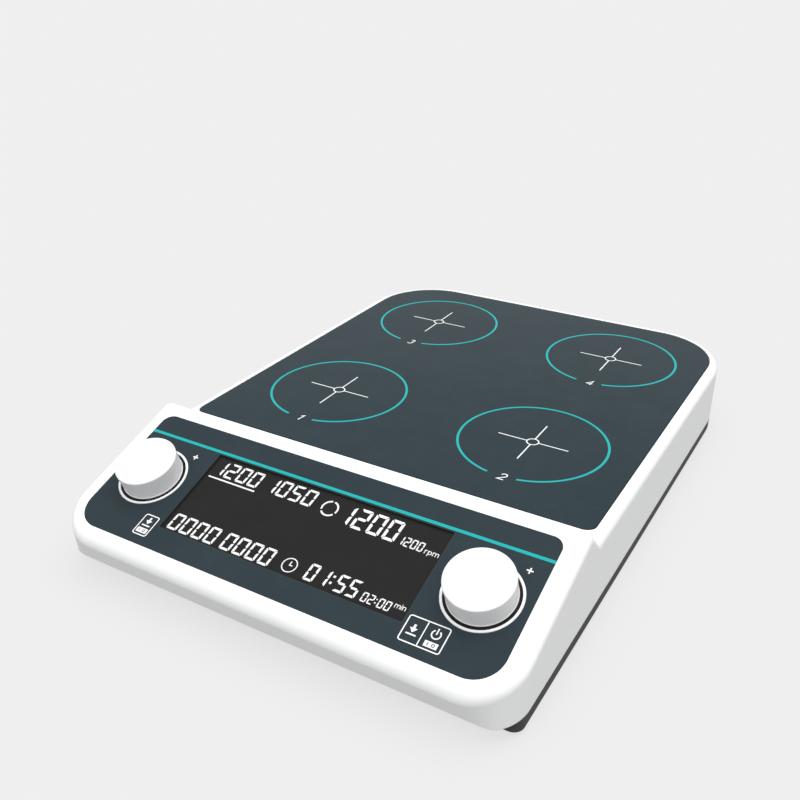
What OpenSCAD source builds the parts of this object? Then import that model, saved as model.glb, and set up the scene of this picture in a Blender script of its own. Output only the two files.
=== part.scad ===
// Four-position magnetic stirrer: flat deck, raised control head, two push-and-turn knobs.
// +Z is up, the bench is z = 0, the front faces -Y and the origin is under the middle.

/* [Body] */
// Width of the housing
body_w = 210; // [204:1:230]
// Depth of the housing, from the nose to the back wall
body_d = 300; // [296:1:330]
// Height of the stirring plate's top above the bench
deck_z = 39; // [38:0.5:46]
// Wall thickness of the housing
wall = 2.5; // [2:0.1:3]
// Radius of the rounded top edges
edge_r = 4.2; // [2:0.1:4.6]
// Radius of the upright corners at the back
back_corner_r = 41; // [38:1:44]
// Radius of the upright corners at the front
front_corner_r = 20; // [16:1:24]

/* [Control head] */
// Tilt of the control panel, in degrees
panel_tilt = 19.3; // [17:0.1:21]
// Height of the nose edge above the bench
nose_z = 23; // [22:0.5:26]
// White border in front of the overlay
nose_border = 6.8; // [6:0.1:9]
// White border behind the overlay, up to the crest
crest_border = 6.6; // [6:0.1:9]
// Radius of the crest
crest_r = 3; // [1.5:0.1:4]
// Slope of the step behind the crest, in degrees
step_slope = 45; // [40:1:60]
// Thickness of the sloped panel
panel_t = 3; // [2.5:0.1:4]

/* [Overlay] */
// White border beside the overlay
overlay_side = 7.9; // [7:0.1:10]
// Length of the overlay up the slope
overlay_l = 64.5; // [62:0.5:68]
// Thickness of the overlay
overlay_t = 0.5; // [0.3:0.1:0.8]
// Radius of the overlay's front corners
overlay_front_r = 12; // [6:0.5:16]
// Radius of the overlay's back corners
overlay_back_r = 5; // [3:0.5:8]

/* [Knobs] */
// Distance of a knob's axis from the overlay's side edge
knob_inset = 18.6; // [18:0.1:21]
// Distance of a knob's axis up the slope from the overlay's front edge
knob_s = 31.6; // [28:0.1:35]
// Radius of a knob
knob_r = 13.4; // [12:0.1:14.5]
// Height of a knob above the overlay
knob_h = 10.1; // [9:0.1:14]
// Depth of a knob's skirt below the overlay's face
knob_sink = 1.6; // [1:0.1:2]
// Wall thickness of a knob
knob_wall = 1.9; // [1.5:0.1:2.5]
// Radius of the rounded edge of a knob
knob_edge_r = 0.8; // [0.4:0.1:1.5]
// Gap between a knob and the hole that it sits in
knob_gap = 0.9; // [0.6:0.1:1.2]
// Width of the white collar around a knob's hole
collar_w = 1.3; // [0.8:0.1:1.8]
// Height of the collar above the overlay's face
collar_h = 0.3; // [0:0.1:0.8]
// Push travel of a knob
knob_travel = 0.5; // [0.3:0.1:0.8]

/* [Encoders] */
// Side of an encoder's square body
encoder_w = 12.5; // [11:0.5:14]
// Height of an encoder's body
encoder_h = 7; // [6:0.1:7.8]
// Thickness of an encoder's floor
encoder_floor = 1; // [0.6:0.1:1.5]
// Radius of the threaded neck of an encoder
neck_r = 4.5; // [4:0.1:5]
// Height of the threaded neck of an encoder
neck_h = 3.6; // [3:0.1:4]
// Radius of an encoder's shaft
encoder_shaft_r = 3; // [2.5:0.1:3.2]
// Height of the plunger under an encoder's shaft
plunger_h = 1.4; // [1:0.1:2]
// Radius of the hub inside a knob
hub_r = 5.5; // [5:0.1:7]

/* [Display] */
// Gap between the display opening and the collars beside it
window_gap = 5.6; // [4:0.1:12]
// Length of the display opening up the slope
window_l = 42.2; // [38:0.1:44]
// Distance of the display opening from the overlay's front edge
window_s = 10.5; // [9:0.1:12]
// Depth of the display window's face below the overlay's face
window_sink = 1; // [0.6:0.1:1.6]
// Overhang of the window's flange behind the opening
window_flange = 4; // [3:0.1:4.4]
// Thickness of the window's flange
window_t = 1.2; // [1:0.1:1.6]
// Thickness of the display panel
lcd_t = 2.8; // [2:0.1:3.2]
// Wall thickness of the display frame
frame_wall = 2.5; // [2:0.1:4]

/* [Control board] */
// Depth of the control board's face below the overlay's face
board_depth = 14; // [13.5:0.1:15]
// Thickness of the circuit boards
board_t = 1.6; // [1.2:0.1:2]
// Free space between the control board and the case bosses
board_clear = 3; // [2:0.1:5]
// Distance of the control board's front edge from the overlay's front edge
board_s = 3; // [1:0.1:4]
// Distance of the control board's back edge from the overlay's back edge
board_back = 3.5; // [2:0.1:5]
// Radius of the bosses that carry the control board
board_boss_r = 3; // [2.6:0.1:3.2]

/* [Stirring plate] */
// White border beside the plate
plate_side = 5; // [4.5:0.1:7]
// White border behind the plate
plate_back = 5.2; // [4.5:0.1:7]
// White strip between the step and the plate
plate_front = 4.5; // [3:0.1:7]
// Thickness of the plate
plate_t = 4; // [3:0.1:5]
// Gap around the plate
plate_gap = 0.3; // [0.2:0.05:0.5]
// Radius of the plate's front corners
plate_front_r = 4.4; // [3:0.1:8]
// Radius of the plate's back corners
plate_back_r = 34.3; // [30:0.1:36]
// Thickness of the seal under the plate
seal_t = 0.5; // [0.3:0.1:1]
// Width of the ledge under the plate
ledge_w = 10; // [8:0.5:12]
// Thickness of the ledge
ledge_t = 3; // [2.5:0.1:4]

/* [Stir positions] */
// Distance of the positions from the plate's side edges
stir_side = 47.5; // [44:0.5:52]
// Distance of the front positions from the plate's front edge
stir_front = 52.9; // [50:0.1:56]
// Distance of the back positions from the plate's back edge
stir_back = 50.2; // [49:0.1:54]

/* [Motors] */
// Radius of a motor
motor_r = 18.5; // [16:0.5:20]
// Radius of the boss on either end of a motor
motor_boss_r = 5; // [4.5:0.1:6]
// Height of the boss on top of a motor
motor_boss_h = 1.2; // [0.8:0.1:2]
// Radius of the circle of motor screws
motor_screw_pcr = 12; // [10:0.5:14]
// Thickness of a motor's floor under its shaft
motor_floor = 1.5; // [1:0.1:2]
// Radius of a rotor shaft
rotor_shaft_r = 1.5; // [1.2:0.05:2]
// Wall thickness of a bush
bush_wall = 1.5; // [1:0.1:2]
// Length of a bush
bush_l = 8; // [6:0.5:9]
// Gap between a motor and its magnet holder
rotor_gap = 0.8; // [0.5:0.1:1.5]
// Gap between the magnets and the plate
magnet_gap = 2.6; // [1.5:0.1:3.5]
// Height of a magnet holder
holder_h = 7; // [6:0.1:8]
// Distance of a magnet from the axis
magnet_spread = 15; // [12:0.5:18]
// Radius of a magnet
magnet_r = 5; // [4:0.1:6]
// Height of a magnet
magnet_h = 5; // [3:0.1:5.5]
// Wall around a magnet
holder_wall = 2; // [1.5:0.1:3]
// Width of a magnet holder between its ends
holder_waist = 12; // [9:0.5:12]
// Thickness of the motor bracket
bracket_t = 1.5; // [1:0.1:2]
// Rim of the bracket around the motors
bracket_rim = 3; // [2:0.1:4]

/* [Base] */
// Height of the base strip that shows under the housing
base_h = 4.6; // [4.2:0.1:5.4]
// Thickness of the base floor
base_t = 1.6; // [1.2:0.1:2]
// Distance of the base's front edge behind the nose
base_setback = 11.5; // [11:0.1:13]
// Radius of the base's front corners
base_front_r = 4.5; // [4:0.1:6]
// Width of the base's inner rim
base_rim = 1.6; // [1.2:0.1:2.5]
// Height of the inner rim above the base strip
base_rim_h = 2; // [1.2:0.1:2.4]
// Height of the posts under the bracket and the main board
post_h = 4.9; // [4.8:0.1:6]
// Radius of the posts
post_r = 4; // [3:0.1:5]
// Height of the rubber feet
foot_h = 3.4; // [2.5:0.1:4.2]
// Radius of the rubber feet
foot_r = 9; // [7:0.5:11]
// Distance of the feet from the sides
foot_inset = 20; // [16:1:26]
// Distance of the feet from the front and back of the base
foot_end = 26; // [22:1:34]
// Distance of the front case screws from the base's front edge
case_front = 16; // [14:1:17]

/* [Main board and inlet] */
// Width of the main board
main_w = 140; // [120:1:144]
// Depth of the main board
main_d = 24; // [20:1:25]
// Gap between the main board and the base's inner rim
main_gap = 2; // [1:0.1:3]
// Distance of the lead plugs from the main board's front edge
lead_plug_inset = 2; // [1:0.1:4]
// Width of the power inlet's body
inlet_w = 10; // [9:0.5:14]
// Distance of the power inlet from the middle
inlet_x = -50; // [-56:1:-44]
// Radius of the power inlet's socket
inlet_bore_r = 2.9; // [2.6:0.1:3.2]
// Wall around the power inlet's socket
inlet_wall = 1.3; // [1:0.1:2]
// Height of the power inlet's axis above the main board
inlet_z = 6.8; // [5.5:0.1:8]
// Depth of the power inlet's socket
inlet_depth = 9; // [7:0.5:10]
// Radius of the power inlet's pin
inlet_pin_r = 1.05; // [0.8:0.05:1.3]
// Depth of the power inlet's face inside the back wall
inlet_sink = 0.4; // [0.2:0.1:0.8]

/* [Cables] */
// Width of the ribbon cable
ribbon_w = 14; // [10:0.5:18]
// Thickness of the ribbon cable
ribbon_t = 0.8; // [0.6:0.1:1]
// Width of a motor lead
lead_w = 4; // [3:0.1:4.5]
// Thickness of a motor lead
lead_t = 1.2; // [0.8:0.1:1.6]
// Height of the plugs
plug_h = 3.6; // [3:0.1:4]
// Depth of the plugs
plug_d = 5; // [4:0.1:6]

/* [Screws and fits] */
// Radius of the case screws
case_screw_r = 1.5; // [1.25:0.05:1.75]
// Radius of the heads of the case screws
case_head_r = 2.75; // [2.5:0.05:3]
// Height of the heads of the case screws
case_head_h = 2; // [1.5:0.1:2.2]
// Radius of the bosses for the case screws
case_boss_r = 4; // [3.6:0.1:4.4]
// Length of the case screws
case_screw_l = 14; // [10:0.5:18]
// Radius of the small screws
small_screw_r = 1; // [0.8:0.05:1.25]
// Radius of the heads of the small screws
small_head_r = 1.9; // [1.6:0.05:2]
// Height of the heads of the small screws
small_head_h = 1.2; // [1:0.1:1.4]
// Length of the small screws
small_screw_l = 5; // [4:0.1:5.6]
// Clearance around a screw or a pressed piece
fit_gap = 0.04; // [0.02:0.01:0.08]
// Running clearance of a shaft
run_gap = 0.04; // [0.02:0.01:0.08]
// Free length past the tip of a screw
tip_gap = 1; // [0.5:0.1:1.5]
// Least distance of a boss from the edge of the board that it carries
edge_gap = 1; // [0.5:0.1:2]
// Assembly clearance between loose covers
loose_gap = 0.3; // [0.2:0.05:0.4]

/* [Hidden] */

$fn = 48;
corner_steps = 12;
// Length that a cutting tool runs past the face that it cuts
over = 1;
// Radius left where an inset takes up a whole corner
least_r = 0.1;
// Distance that the rounding of the side edges stands out from the faces that it joins
edge_play = 0.02;

// Body
half_w = body_w / 2;
back_y = body_d / 2;
shell_z = foot_h + base_h;
floor_z = foot_h + base_t;
rim_top_z = shell_z + base_rim_h;
lip_top_z = rim_top_z + loose_gap;
base_y = -back_y + base_setback;
back_corner_x = half_w - back_corner_r;
edge_mid = [half_w - edge_r + edge_play, edge_play - edge_r];

// Panel frame: s runs up the slope from the overlay's front edge, h out of the panel
nose_y = edge_r * (1 - sin(panel_tilt) - cos(panel_tilt)) - back_y;
panel_y = nose_y + nose_border * cos(panel_tilt);
panel_z = nose_z + nose_border * sin(panel_tilt);
overlay_w = body_w - 2 * overlay_side;
crest_s = overlay_l + crest_border;
crest = panel_point(crest_s, 0);
step_y = crest[0] + (crest[1] - deck_z) / tan(step_slope);

// Plate and ledge
plate_w = body_w - 2 * plate_side;
plate_y0 = step_y + plate_front;
plate_y1 = back_y - plate_back;
seal_z = deck_z - plate_t - seal_t;
ledge_z = seal_z - ledge_t;
seal_inset = plate_gap;

// Knobs and encoders
knob_x = overlay_w / 2 - knob_inset;
hole_r = knob_r + knob_gap;
collar_r = hole_r + collar_w;
encoder_top = encoder_h - board_depth;
pocket_h = encoder_floor - board_depth;
plunger_rest = pocket_h + knob_travel + run_gap;
shaft_base = plunger_rest + plunger_h;
shaft_top = knob_h - knob_wall;
bore_r = encoder_shaft_r + run_gap;

// Display
window_w = 2 * (knob_x - collar_r - window_gap);
window_mid_s = window_s + window_l / 2;
lcd_h = -panel_t - window_t - lcd_t;
flange_w = window_w + 2 * window_flange;
flange_l = window_l + 2 * window_flange;

// Control board
case_x = half_w - wall - loose_gap - base_rim - fit_gap - case_boss_r - loose_gap;
board_half_w = case_x - case_boss_r - board_clear;
board_l = overlay_l - board_s - board_back;
boss_x = flange_w / 2 + board_boss_r + loose_gap;
boss_s = [board_s + board_boss_r + edge_gap, board_s + board_l - board_boss_r - edge_gap];

// Stir positions: front left, front right, back left, back right
stir_x = plate_w / 2 - stir_side;
stir_y = [plate_y0 + stir_front, plate_y1 - stir_back];
stir_mid_y = (stir_y[0] + stir_y[1]) / 2;
STIR = [for (y = stir_y) for (sx = [-1, 1]) [sx * stir_x, y]];

// Motors
bracket_z = floor_z + post_h;
mount_z = bracket_z + bracket_t;
holder_top_z = deck_z - plate_t - magnet_gap;
holder_z = holder_top_z - holder_h;
motor_top_z = holder_z - rotor_gap;
can_top_z = motor_top_z - motor_boss_h;
shaft_z = mount_z + motor_floor;
bush_r = rotor_shaft_r + run_gap + bush_wall;
bush_z = motor_top_z - bush_l;
bracket_half_w = stir_x + motor_r + bracket_rim;
bracket_y0 = stir_y[0] - motor_r - bracket_rim;
bracket_y1 = stir_y[1] + motor_r + bracket_rim;
bracket_post_x = bracket_half_w - post_r;
mid_post_x = ribbon_w / 2 + loose_gap + post_r;
BRACKET_POSTS = [
    for (sx = [-1, 1])
        for (p = [
            [bracket_post_x, bracket_y0 + post_r],
            [bracket_post_x, stir_mid_y],
            [bracket_post_x, bracket_y1 - post_r],
            [mid_post_x, stir_mid_y]
        ])
            [sx * p[0], p[1]]
];

// Main board
main_y1 = back_y - wall - loose_gap - base_rim - main_gap;
main_y0 = main_y1 - main_d;
main_z = mount_z - board_t;
MAIN_POSTS = [
    for (sx = [-1, 1]) for (y = [main_y0 + post_r, main_y1 - post_r])
        [sx * (main_w / 2 - post_r), y]
];
inlet_axis_z = mount_z + inlet_z;
inlet_r = inlet_bore_r + inlet_wall;
inlet_y0 = back_y - wall - inlet_depth - inlet_wall;

// Motor leads
motor_plug_x = stir_x - motor_r - plug_d / 2;
back_lane_x = motor_plug_x - lead_w - loose_gap;
front_lane_x = back_lane_x - lead_w - loose_gap;
lead_end_y = main_y0 + lead_plug_inset;

// Screws and feet
case_y = [base_y + case_front, stir_y[0], back_y - back_corner_r - case_boss_r];
CASE_SCREWS = [for (sx = [-1, 1]) for (y = case_y) [sx * case_x, y]];
case_seat_z = foot_h + case_head_h + run_gap;
FEET = [
    for (sx = [-1, 1]) for (y = [base_y + foot_end, back_y - foot_end])
        [sx * (half_w - foot_inset), y]
];
BOARD_SCREWS = [for (sx = [-1, 1]) for (s = boss_s) [sx * boss_x, s]];

function panel_point(s, h) = [
    panel_y + s * cos(panel_tilt) - h * sin(panel_tilt),
    panel_z + s * sin(panel_tilt) + h * cos(panel_tilt)
];

function arc(middle, r, from, to) = [
    for (i = [0 : corner_steps]) let (a = from + (to - from) * i / corner_steps)
        middle + r * [cos(a), sin(a)]
];

// Rectangle from y0 to y1 with front and back corner radii
function outline(x, y0, y1, front_r, back_r) = concat(
    arc([x - front_r, y0 + front_r], front_r, -90, 0),
    arc([x - back_r, y1 - back_r], back_r, 0, 90),
    arc([back_r - x, y1 - back_r], back_r, 90, 180),
    arc([front_r - x, y0 + front_r], front_r, 180, 270)
);

function body_outline(inset) =
    outline(half_w - inset, inset - back_y, back_y - inset, front_corner_r - inset, back_corner_r - inset);

function base_outline(inset) =
    outline(half_w - inset, base_y + inset, back_y - inset, max(base_front_r - inset, least_r), back_corner_r - inset);

function plate_outline(inset) =
    outline(plate_w / 2 - inset, plate_y0 + inset, plate_y1 - inset, max(plate_front_r - inset, least_r),
        plate_back_r - inset);

function overlay_outline(inset) =
    outline(overlay_w / 2 - inset, inset, overlay_l - inset, overlay_front_r - inset, overlay_back_r - inset);

// Side view of the housing: leaning front wall, nose, slope, crest, step, deck and back edge
function side_profile() =
    let (
        slope_up = [-sin(panel_tilt), cos(panel_tilt)],
        step_up = [sin(step_slope), cos(step_slope)],
        crest_mid = crest - crest_r * (slope_up + step_up) / (1 + slope_up * step_up)
    )
    concat(
        [panel_point(-nose_border, -deck_z)],
        arc(panel_point(edge_r - nose_border, -edge_r), edge_r, 180 + panel_tilt, 90 + panel_tilt),
        arc(crest_mid, crest_r, 90 + panel_tilt, 90 - step_slope),
        [[step_y, deck_z]],
        arc([back_y - edge_r, deck_z - edge_r], edge_r, 90, 0),
        [[back_y, -deck_z]]
    );

// Side view of the space inside the housing
function cavity_profile() = [
    panel_point(wall - nose_border, -deck_z),
    panel_point(wall - nose_border, -panel_t),
    panel_point(crest_s - 1.5 * wall, -panel_t),
    [step_y - wall / 2, ledge_z],
    [back_y - wall, ledge_z],
    [back_y - wall, -deck_z]
];

// Front view of what is cut away to round the right top edge, the top face at zero
function edge_section() = concat(
    [[half_w + over, over], [edge_mid[0], over]],
    arc(edge_mid, edge_r, 90, 0),
    [[half_w + over, edge_mid[1]]]
);

module on_panel(x = 0, s = 0, h = 0) {
    translate([0, panel_y, panel_z])
        rotate([panel_tilt, 0, 0])
            translate([x, s, h])
                children();
}

// Turns a side view into a solid that runs from side to side
module across(w) {
    rotate([90, 0, 90])
        translate([0, 0, -w / 2])
            linear_extrude(w)
                children();
}

// Turns a front view into a solid that runs back from y = 0
module along(l) {
    translate([0, l, 0])
        rotate([90, 0, 0])
            linear_extrude(l)
                children();
}

module tube(r_out, r_in, h) {
    difference() {
        cylinder(r = r_out, h = h);
        translate([0, 0, -over])
            cylinder(r = r_in, h = h + 2 * over);
    }
}

module plate_prism(points, z, h) {
    translate([0, 0, z])
        linear_extrude(h)
            polygon(points);
}

// Screw with its head at the bottom and its shank pointing up
module screw(r, l, head_r, head_h) {
    cylinder(r = r, h = l);
    translate([0, 0, -head_h])
        cylinder(r = head_r, h = head_h);
}

module each_side() {
    for (sx = [-1, 1])
        on_panel(sx * knob_x, knob_s)
            children();
}

module housing_block() {
    difference() {
        intersection() {
            plate_prism(body_outline(0), shell_z, crest[1]);
            across(body_w + 2 * over)
                polygon(side_profile());
        }
        for (side = [0, 1])
            mirror([side, 0, 0]) {
                on_panel(0, -2 * nose_border)
                    along(2 * nose_border + crest_s + 2 * edge_r)
                        polygon(edge_section());
                translate([0, step_y, deck_z])
                    along(back_y - back_corner_r - step_y)
                        polygon(edge_section());
                translate([back_corner_x, back_y - back_corner_r, deck_z])
                    rotate_extrude(angle = 90)
                        translate([-back_corner_x, 0])
                            polygon(edge_section());
            }
    }
}

module housing_space() {
    intersection() {
        plate_prism(body_outline(wall), lip_top_z, crest[1]);
        across(body_w)
            polygon(cavity_profile());
    }
    plate_prism(base_outline(wall), shell_z - over, lip_top_z - shell_z + 2 * over);
}

// Bosses for the case screws, long enough to meet the ledge or the panel above them
module housing_bosses() {
    for (p = CASE_SCREWS)
        translate([p[0], p[1], shell_z])
            cylinder(r = case_boss_r, h = boss_top(p[1]) - shell_z);
    for (p = BOARD_SCREWS)
        on_panel(p[0], p[1], -board_depth)
            cylinder(r = board_boss_r, h = board_depth - panel_t / 2);
}

function boss_top(y) = min(
    ledge_z + ledge_t / 2,
    panel_z + (y - case_boss_r - panel_y) * tan(panel_tilt) - overlay_t - loose_gap
);

module top_housing() {
    color("whitesmoke")
        difference() {
            union() {
                difference() {
                    housing_block();
                    housing_space();
                }
                housing_bosses();
                each_side()
                    translate([0, 0, -panel_t / 2])
                        cylinder(r = collar_r, h = panel_t / 2 + collar_h);
            }
            plate_prism(plate_outline(-plate_gap), seal_z, deck_z);
            plate_prism(plate_outline(ledge_w), ledge_z - over, deck_z);
            difference() {
                on_panel(0, 0, -overlay_t)
                    linear_extrude(panel_t)
                        polygon(overlay_outline(-loose_gap / 2));
                each_side()
                    translate([0, 0, -panel_t])
                        cylinder(r = collar_r, h = 3 * panel_t);
            }
            each_side()
                translate([0, 0, -2 * panel_t])
                    cylinder(r = hole_r, h = 4 * panel_t);
            on_panel(-window_w / 2, window_s, -2 * panel_t)
                cube([window_w, window_l, 3 * panel_t]);
            for (p = CASE_SCREWS)
                translate([p[0], p[1], shell_z - over])
                    cylinder(r = case_screw_r + fit_gap, h = case_seat_z + case_screw_l + tip_gap - shell_z + over);
            for (p = BOARD_SCREWS)
                on_panel(p[0], p[1], -board_depth - over)
                    cylinder(r = small_screw_r + fit_gap, h = small_screw_l - board_t + tip_gap + over);
            translate([inlet_x, back_y + over, inlet_axis_z])
                rotate([90, 0, 0])
                    cylinder(r = inlet_r + fit_gap, h = wall + 2 * over);
        }
}

module base_tray() {
    color("dimgray")
        difference() {
            union() {
                difference() {
                    union() {
                        plate_prism(base_outline(0), foot_h, base_h);
                        plate_prism(base_outline(wall + loose_gap), foot_h, base_h + base_rim_h);
                    }
                    plate_prism(base_outline(wall + loose_gap + base_rim), floor_z, deck_z);
                }
                for (p = concat(BRACKET_POSTS, MAIN_POSTS))
                    translate([p[0], p[1], foot_h + base_t / 2])
                        cylinder(r = post_r, h = (in_board(p[1]) ? main_z : bracket_z) - foot_h - base_t / 2);
                for (p = CASE_SCREWS)
                    translate([p[0], p[1], foot_h])
                        cylinder(r = case_boss_r, h = base_h);
            }
            for (p = concat(BRACKET_POSTS, MAIN_POSTS))
                translate([p[0], p[1], floor_z])
                    cylinder(r = small_screw_r + fit_gap, h = deck_z);
            for (p = CASE_SCREWS)
                translate([p[0], p[1], foot_h - over]) {
                    cylinder(r = case_screw_r + fit_gap, h = base_h + 2 * over);
                    cylinder(r = case_head_r + fit_gap, h = case_head_h + over + run_gap);
                }
        }
}

function in_board(y) = y > bracket_y1;

module stirring_plate() {
    color("darkslategray")
        plate_prism(plate_outline(0), deck_z - plate_t, plate_t);
}

module plate_seal() {
    color("black")
        translate([0, 0, seal_z])
            linear_extrude(seal_t)
                difference() {
                    polygon(plate_outline(seal_inset));
                    polygon(plate_outline(ledge_w - seal_inset));
                }
}

module control_overlay() {
    color("darkslategray")
        difference() {
            on_panel(0, 0, -overlay_t)
                linear_extrude(overlay_t)
                    polygon(overlay_outline(0));
            each_side()
                translate([0, 0, -panel_t])
                    cylinder(r = collar_r + loose_gap / 2, h = 2 * panel_t);
            on_panel(-window_w / 2, window_s, -panel_t)
                cube([window_w, window_l, 2 * panel_t]);
        }
}

module display_window() {
    color("black")
        on_panel(0, window_mid_s) {
            translate([-window_w / 2 + fit_gap, -window_l / 2 + fit_gap, -panel_t - window_t / 2])
                cube([window_w - 2 * fit_gap, window_l - 2 * fit_gap, panel_t + window_t / 2 - window_sink]);
            translate([-flange_w / 2, -flange_l / 2, -panel_t - window_t])
                cube([flange_w, flange_l, window_t]);
        }
}

module display_panel() {
    color("dimgray")
        on_panel(-flange_w / 2, window_mid_s - flange_l / 2, lcd_h)
            cube([flange_w, flange_l, lcd_t]);
}

module display_frame() {
    color("white")
        on_panel(-flange_w / 2, window_mid_s - flange_l / 2, -board_depth)
            difference() {
                cube([flange_w, flange_l, lcd_h + board_depth]);
                translate([frame_wall, frame_wall, -over])
                    cube([flange_w - 2 * frame_wall, flange_l - 2 * frame_wall, deck_z]);
            }
}

module control_board() {
    color("darkgreen") {
        difference() {
            on_panel(-board_half_w, board_s, -board_depth - board_t)
                cube([2 * board_half_w, board_l, board_t]);
            for (p = BOARD_SCREWS)
                on_panel(p[0], p[1], -board_depth - board_t - over)
                    cylinder(r = small_screw_r + fit_gap, h = board_t + 2 * over);
        }
        on_panel(-ribbon_w / 2, ribbon_s - plug_d / 2, -board_depth - board_t - plug_h)
            cube([ribbon_w, plug_d, plug_h + board_t / 2]);
    }
}

// Place of the ribbon's plug on the control board
ribbon_s = board_s + board_l - plug_d;
ribbon_h = -board_depth - board_t - plug_h;

module control_board_screws() {
    color("silver")
        for (p = BOARD_SCREWS)
            on_panel(p[0], p[1], -board_depth - board_t)
                screw(small_screw_r, small_screw_l, small_head_r, small_head_h);
}

module encoder(side) {
    color("silver")
        on_panel(side * knob_x, knob_s)
            difference() {
                union() {
                    translate([-encoder_w / 2, -encoder_w / 2, -board_depth])
                        cube([encoder_w, encoder_w, encoder_h]);
                    translate([0, 0, encoder_top - over])
                        cylinder(r = neck_r, h = neck_h + over);
                }
                translate([0, 0, pocket_h])
                    cylinder(r = bore_r, h = board_depth + knob_h);
            }
}

module plunger(side) {
    color("black")
        on_panel(side * knob_x, knob_s, plunger_rest)
            cylinder(r = encoder_shaft_r, h = plunger_h);
}

module encoder_shaft(side) {
    color("silver")
        on_panel(side * knob_x, knob_s, shaft_base)
            cylinder(r = encoder_shaft_r, h = shaft_top - shaft_base);
}

module knob(side) {
    color("white")
        on_panel(side * knob_x, knob_s)
            difference() {
                rotate_extrude()
                    polygon(concat(
                        [[0, -knob_sink], [knob_r, -knob_sink]],
                        arc([knob_r - knob_edge_r, knob_h - knob_edge_r], knob_edge_r, 0, 90),
                        [[0, knob_h]]
                    ));
                translate([0, 0, -knob_sink - over])
                    tube(knob_r - knob_wall, hub_r, knob_sink + knob_h - knob_wall + over);
                translate([0, 0, -knob_sink - over])
                    cylinder(r = encoder_shaft_r + fit_gap, h = knob_sink + shaft_top + over);
            }
}

module motor_bracket() {
    color("lightgray")
        difference() {
            translate([-bracket_half_w, bracket_y0, bracket_z])
                cube([2 * bracket_half_w, bracket_y1 - bracket_y0, bracket_t]);
            for (p = STIR)
                translate([p[0], p[1], 0]) {
                    cylinder(r = motor_boss_r + fit_gap, h = deck_z);
                    motor_screw_places()
                        cylinder(r = small_screw_r + fit_gap, h = deck_z);
                }
            for (p = BRACKET_POSTS)
                translate([p[0], p[1], 0])
                    cylinder(r = small_screw_r + fit_gap, h = deck_z);
        }
}

module motor_screw_places() {
    for (a = [90 : 120 : 330])
        translate([motor_screw_pcr * cos(a), motor_screw_pcr * sin(a), 0])
            children();
}

module bracket_screws() {
    color("silver")
        for (p = BRACKET_POSTS)
            translate([p[0], p[1], mount_z])
                mirror([0, 0, 1])
                    screw(small_screw_r, small_screw_l, small_head_r, small_head_h);
}

module motor_screws() {
    color("silver")
        for (p = STIR)
            translate([p[0], p[1], bracket_z])
                motor_screw_places()
                    screw(small_screw_r, small_screw_l, small_head_r, small_head_h);
}

// Flat motor that stands on the bracket, with its plug on the side next to the middle
module motor(i) {
    p = STIR[i];
    side = p[0] < 0 ? 1 : -1;
    color("silver")
        translate([p[0], p[1], 0])
            difference() {
                union() {
                    translate([0, 0, mount_z])
                        cylinder(r = motor_r, h = can_top_z - mount_z);
                    translate([0, 0, bracket_z])
                        cylinder(r = motor_boss_r, h = motor_top_z - bracket_z);
                    translate([side * (motor_r - plug_d / 4) - plug_d * 3 / 4, -lead_w, mount_z])
                        cube([plug_d * 3 / 2, 2 * lead_w, plug_h]);
                }
                translate([0, 0, shaft_z])
                    cylinder(r = rotor_shaft_r + loose_gap, h = deck_z);
                translate([0, 0, bush_z])
                    cylinder(r = bush_r + fit_gap, h = deck_z);
                motor_screw_places()
                    translate([0, 0, mount_z - over])
                        cylinder(r = small_screw_r + fit_gap, h = small_screw_l - bracket_t + tip_gap + over);
            }
}

module motor_bushes() {
    color("goldenrod")
        for (p = STIR)
            translate([p[0], p[1], bush_z])
                tube(bush_r, rotor_shaft_r + run_gap, bush_l);
}

module rotor_shaft(i) {
    color("silver")
        translate([STIR[i][0], STIR[i][1], shaft_z])
            cylinder(r = rotor_shaft_r, h = holder_top_z - shaft_z);
}

module magnet_places() {
    for (side = [-1, 1])
        translate([side * magnet_spread, 0, 0])
            children();
}

module magnet_holder(i) {
    end_r = magnet_r + holder_wall;
    color("white")
        translate([STIR[i][0], STIR[i][1], holder_z])
            difference() {
                union() {
                    magnet_places()
                        cylinder(r = end_r, h = holder_h);
                    translate([-magnet_spread, -holder_waist / 2, 0])
                        cube([2 * magnet_spread, holder_waist, holder_h]);
                }
                translate([0, 0, -over])
                    cylinder(r = rotor_shaft_r + fit_gap, h = holder_h + 2 * over);
                translate([0, 0, holder_h - magnet_h])
                    magnet_places()
                        cylinder(r = magnet_r + fit_gap, h = holder_h);
            }
}

module magnets(i) {
    color("gray")
        translate([STIR[i][0], STIR[i][1], holder_top_z - magnet_h])
            magnet_places()
                cylinder(r = magnet_r, h = magnet_h);
}

// Front motors use the inner lanes and back motors the outer lanes, all flat on the bracket
module motor_leads() {
    color("black")
        for (i = [0 : 3]) {
            side = STIR[i][0] < 0 ? -1 : 1;
            lane_x = i < 2 ? front_lane_x : back_lane_x;
            y = STIR[i][1];
            mirror([side < 0 ? 1 : 0, 0, 0])
                translate([lane_x, y - lead_w / 2, mount_z]) {
                    cube([motor_plug_x - lane_x, lead_w, lead_t]);
                    cube([lead_w, lead_end_y - y + lead_w / 2, lead_t]);
                }
        }
}

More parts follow.
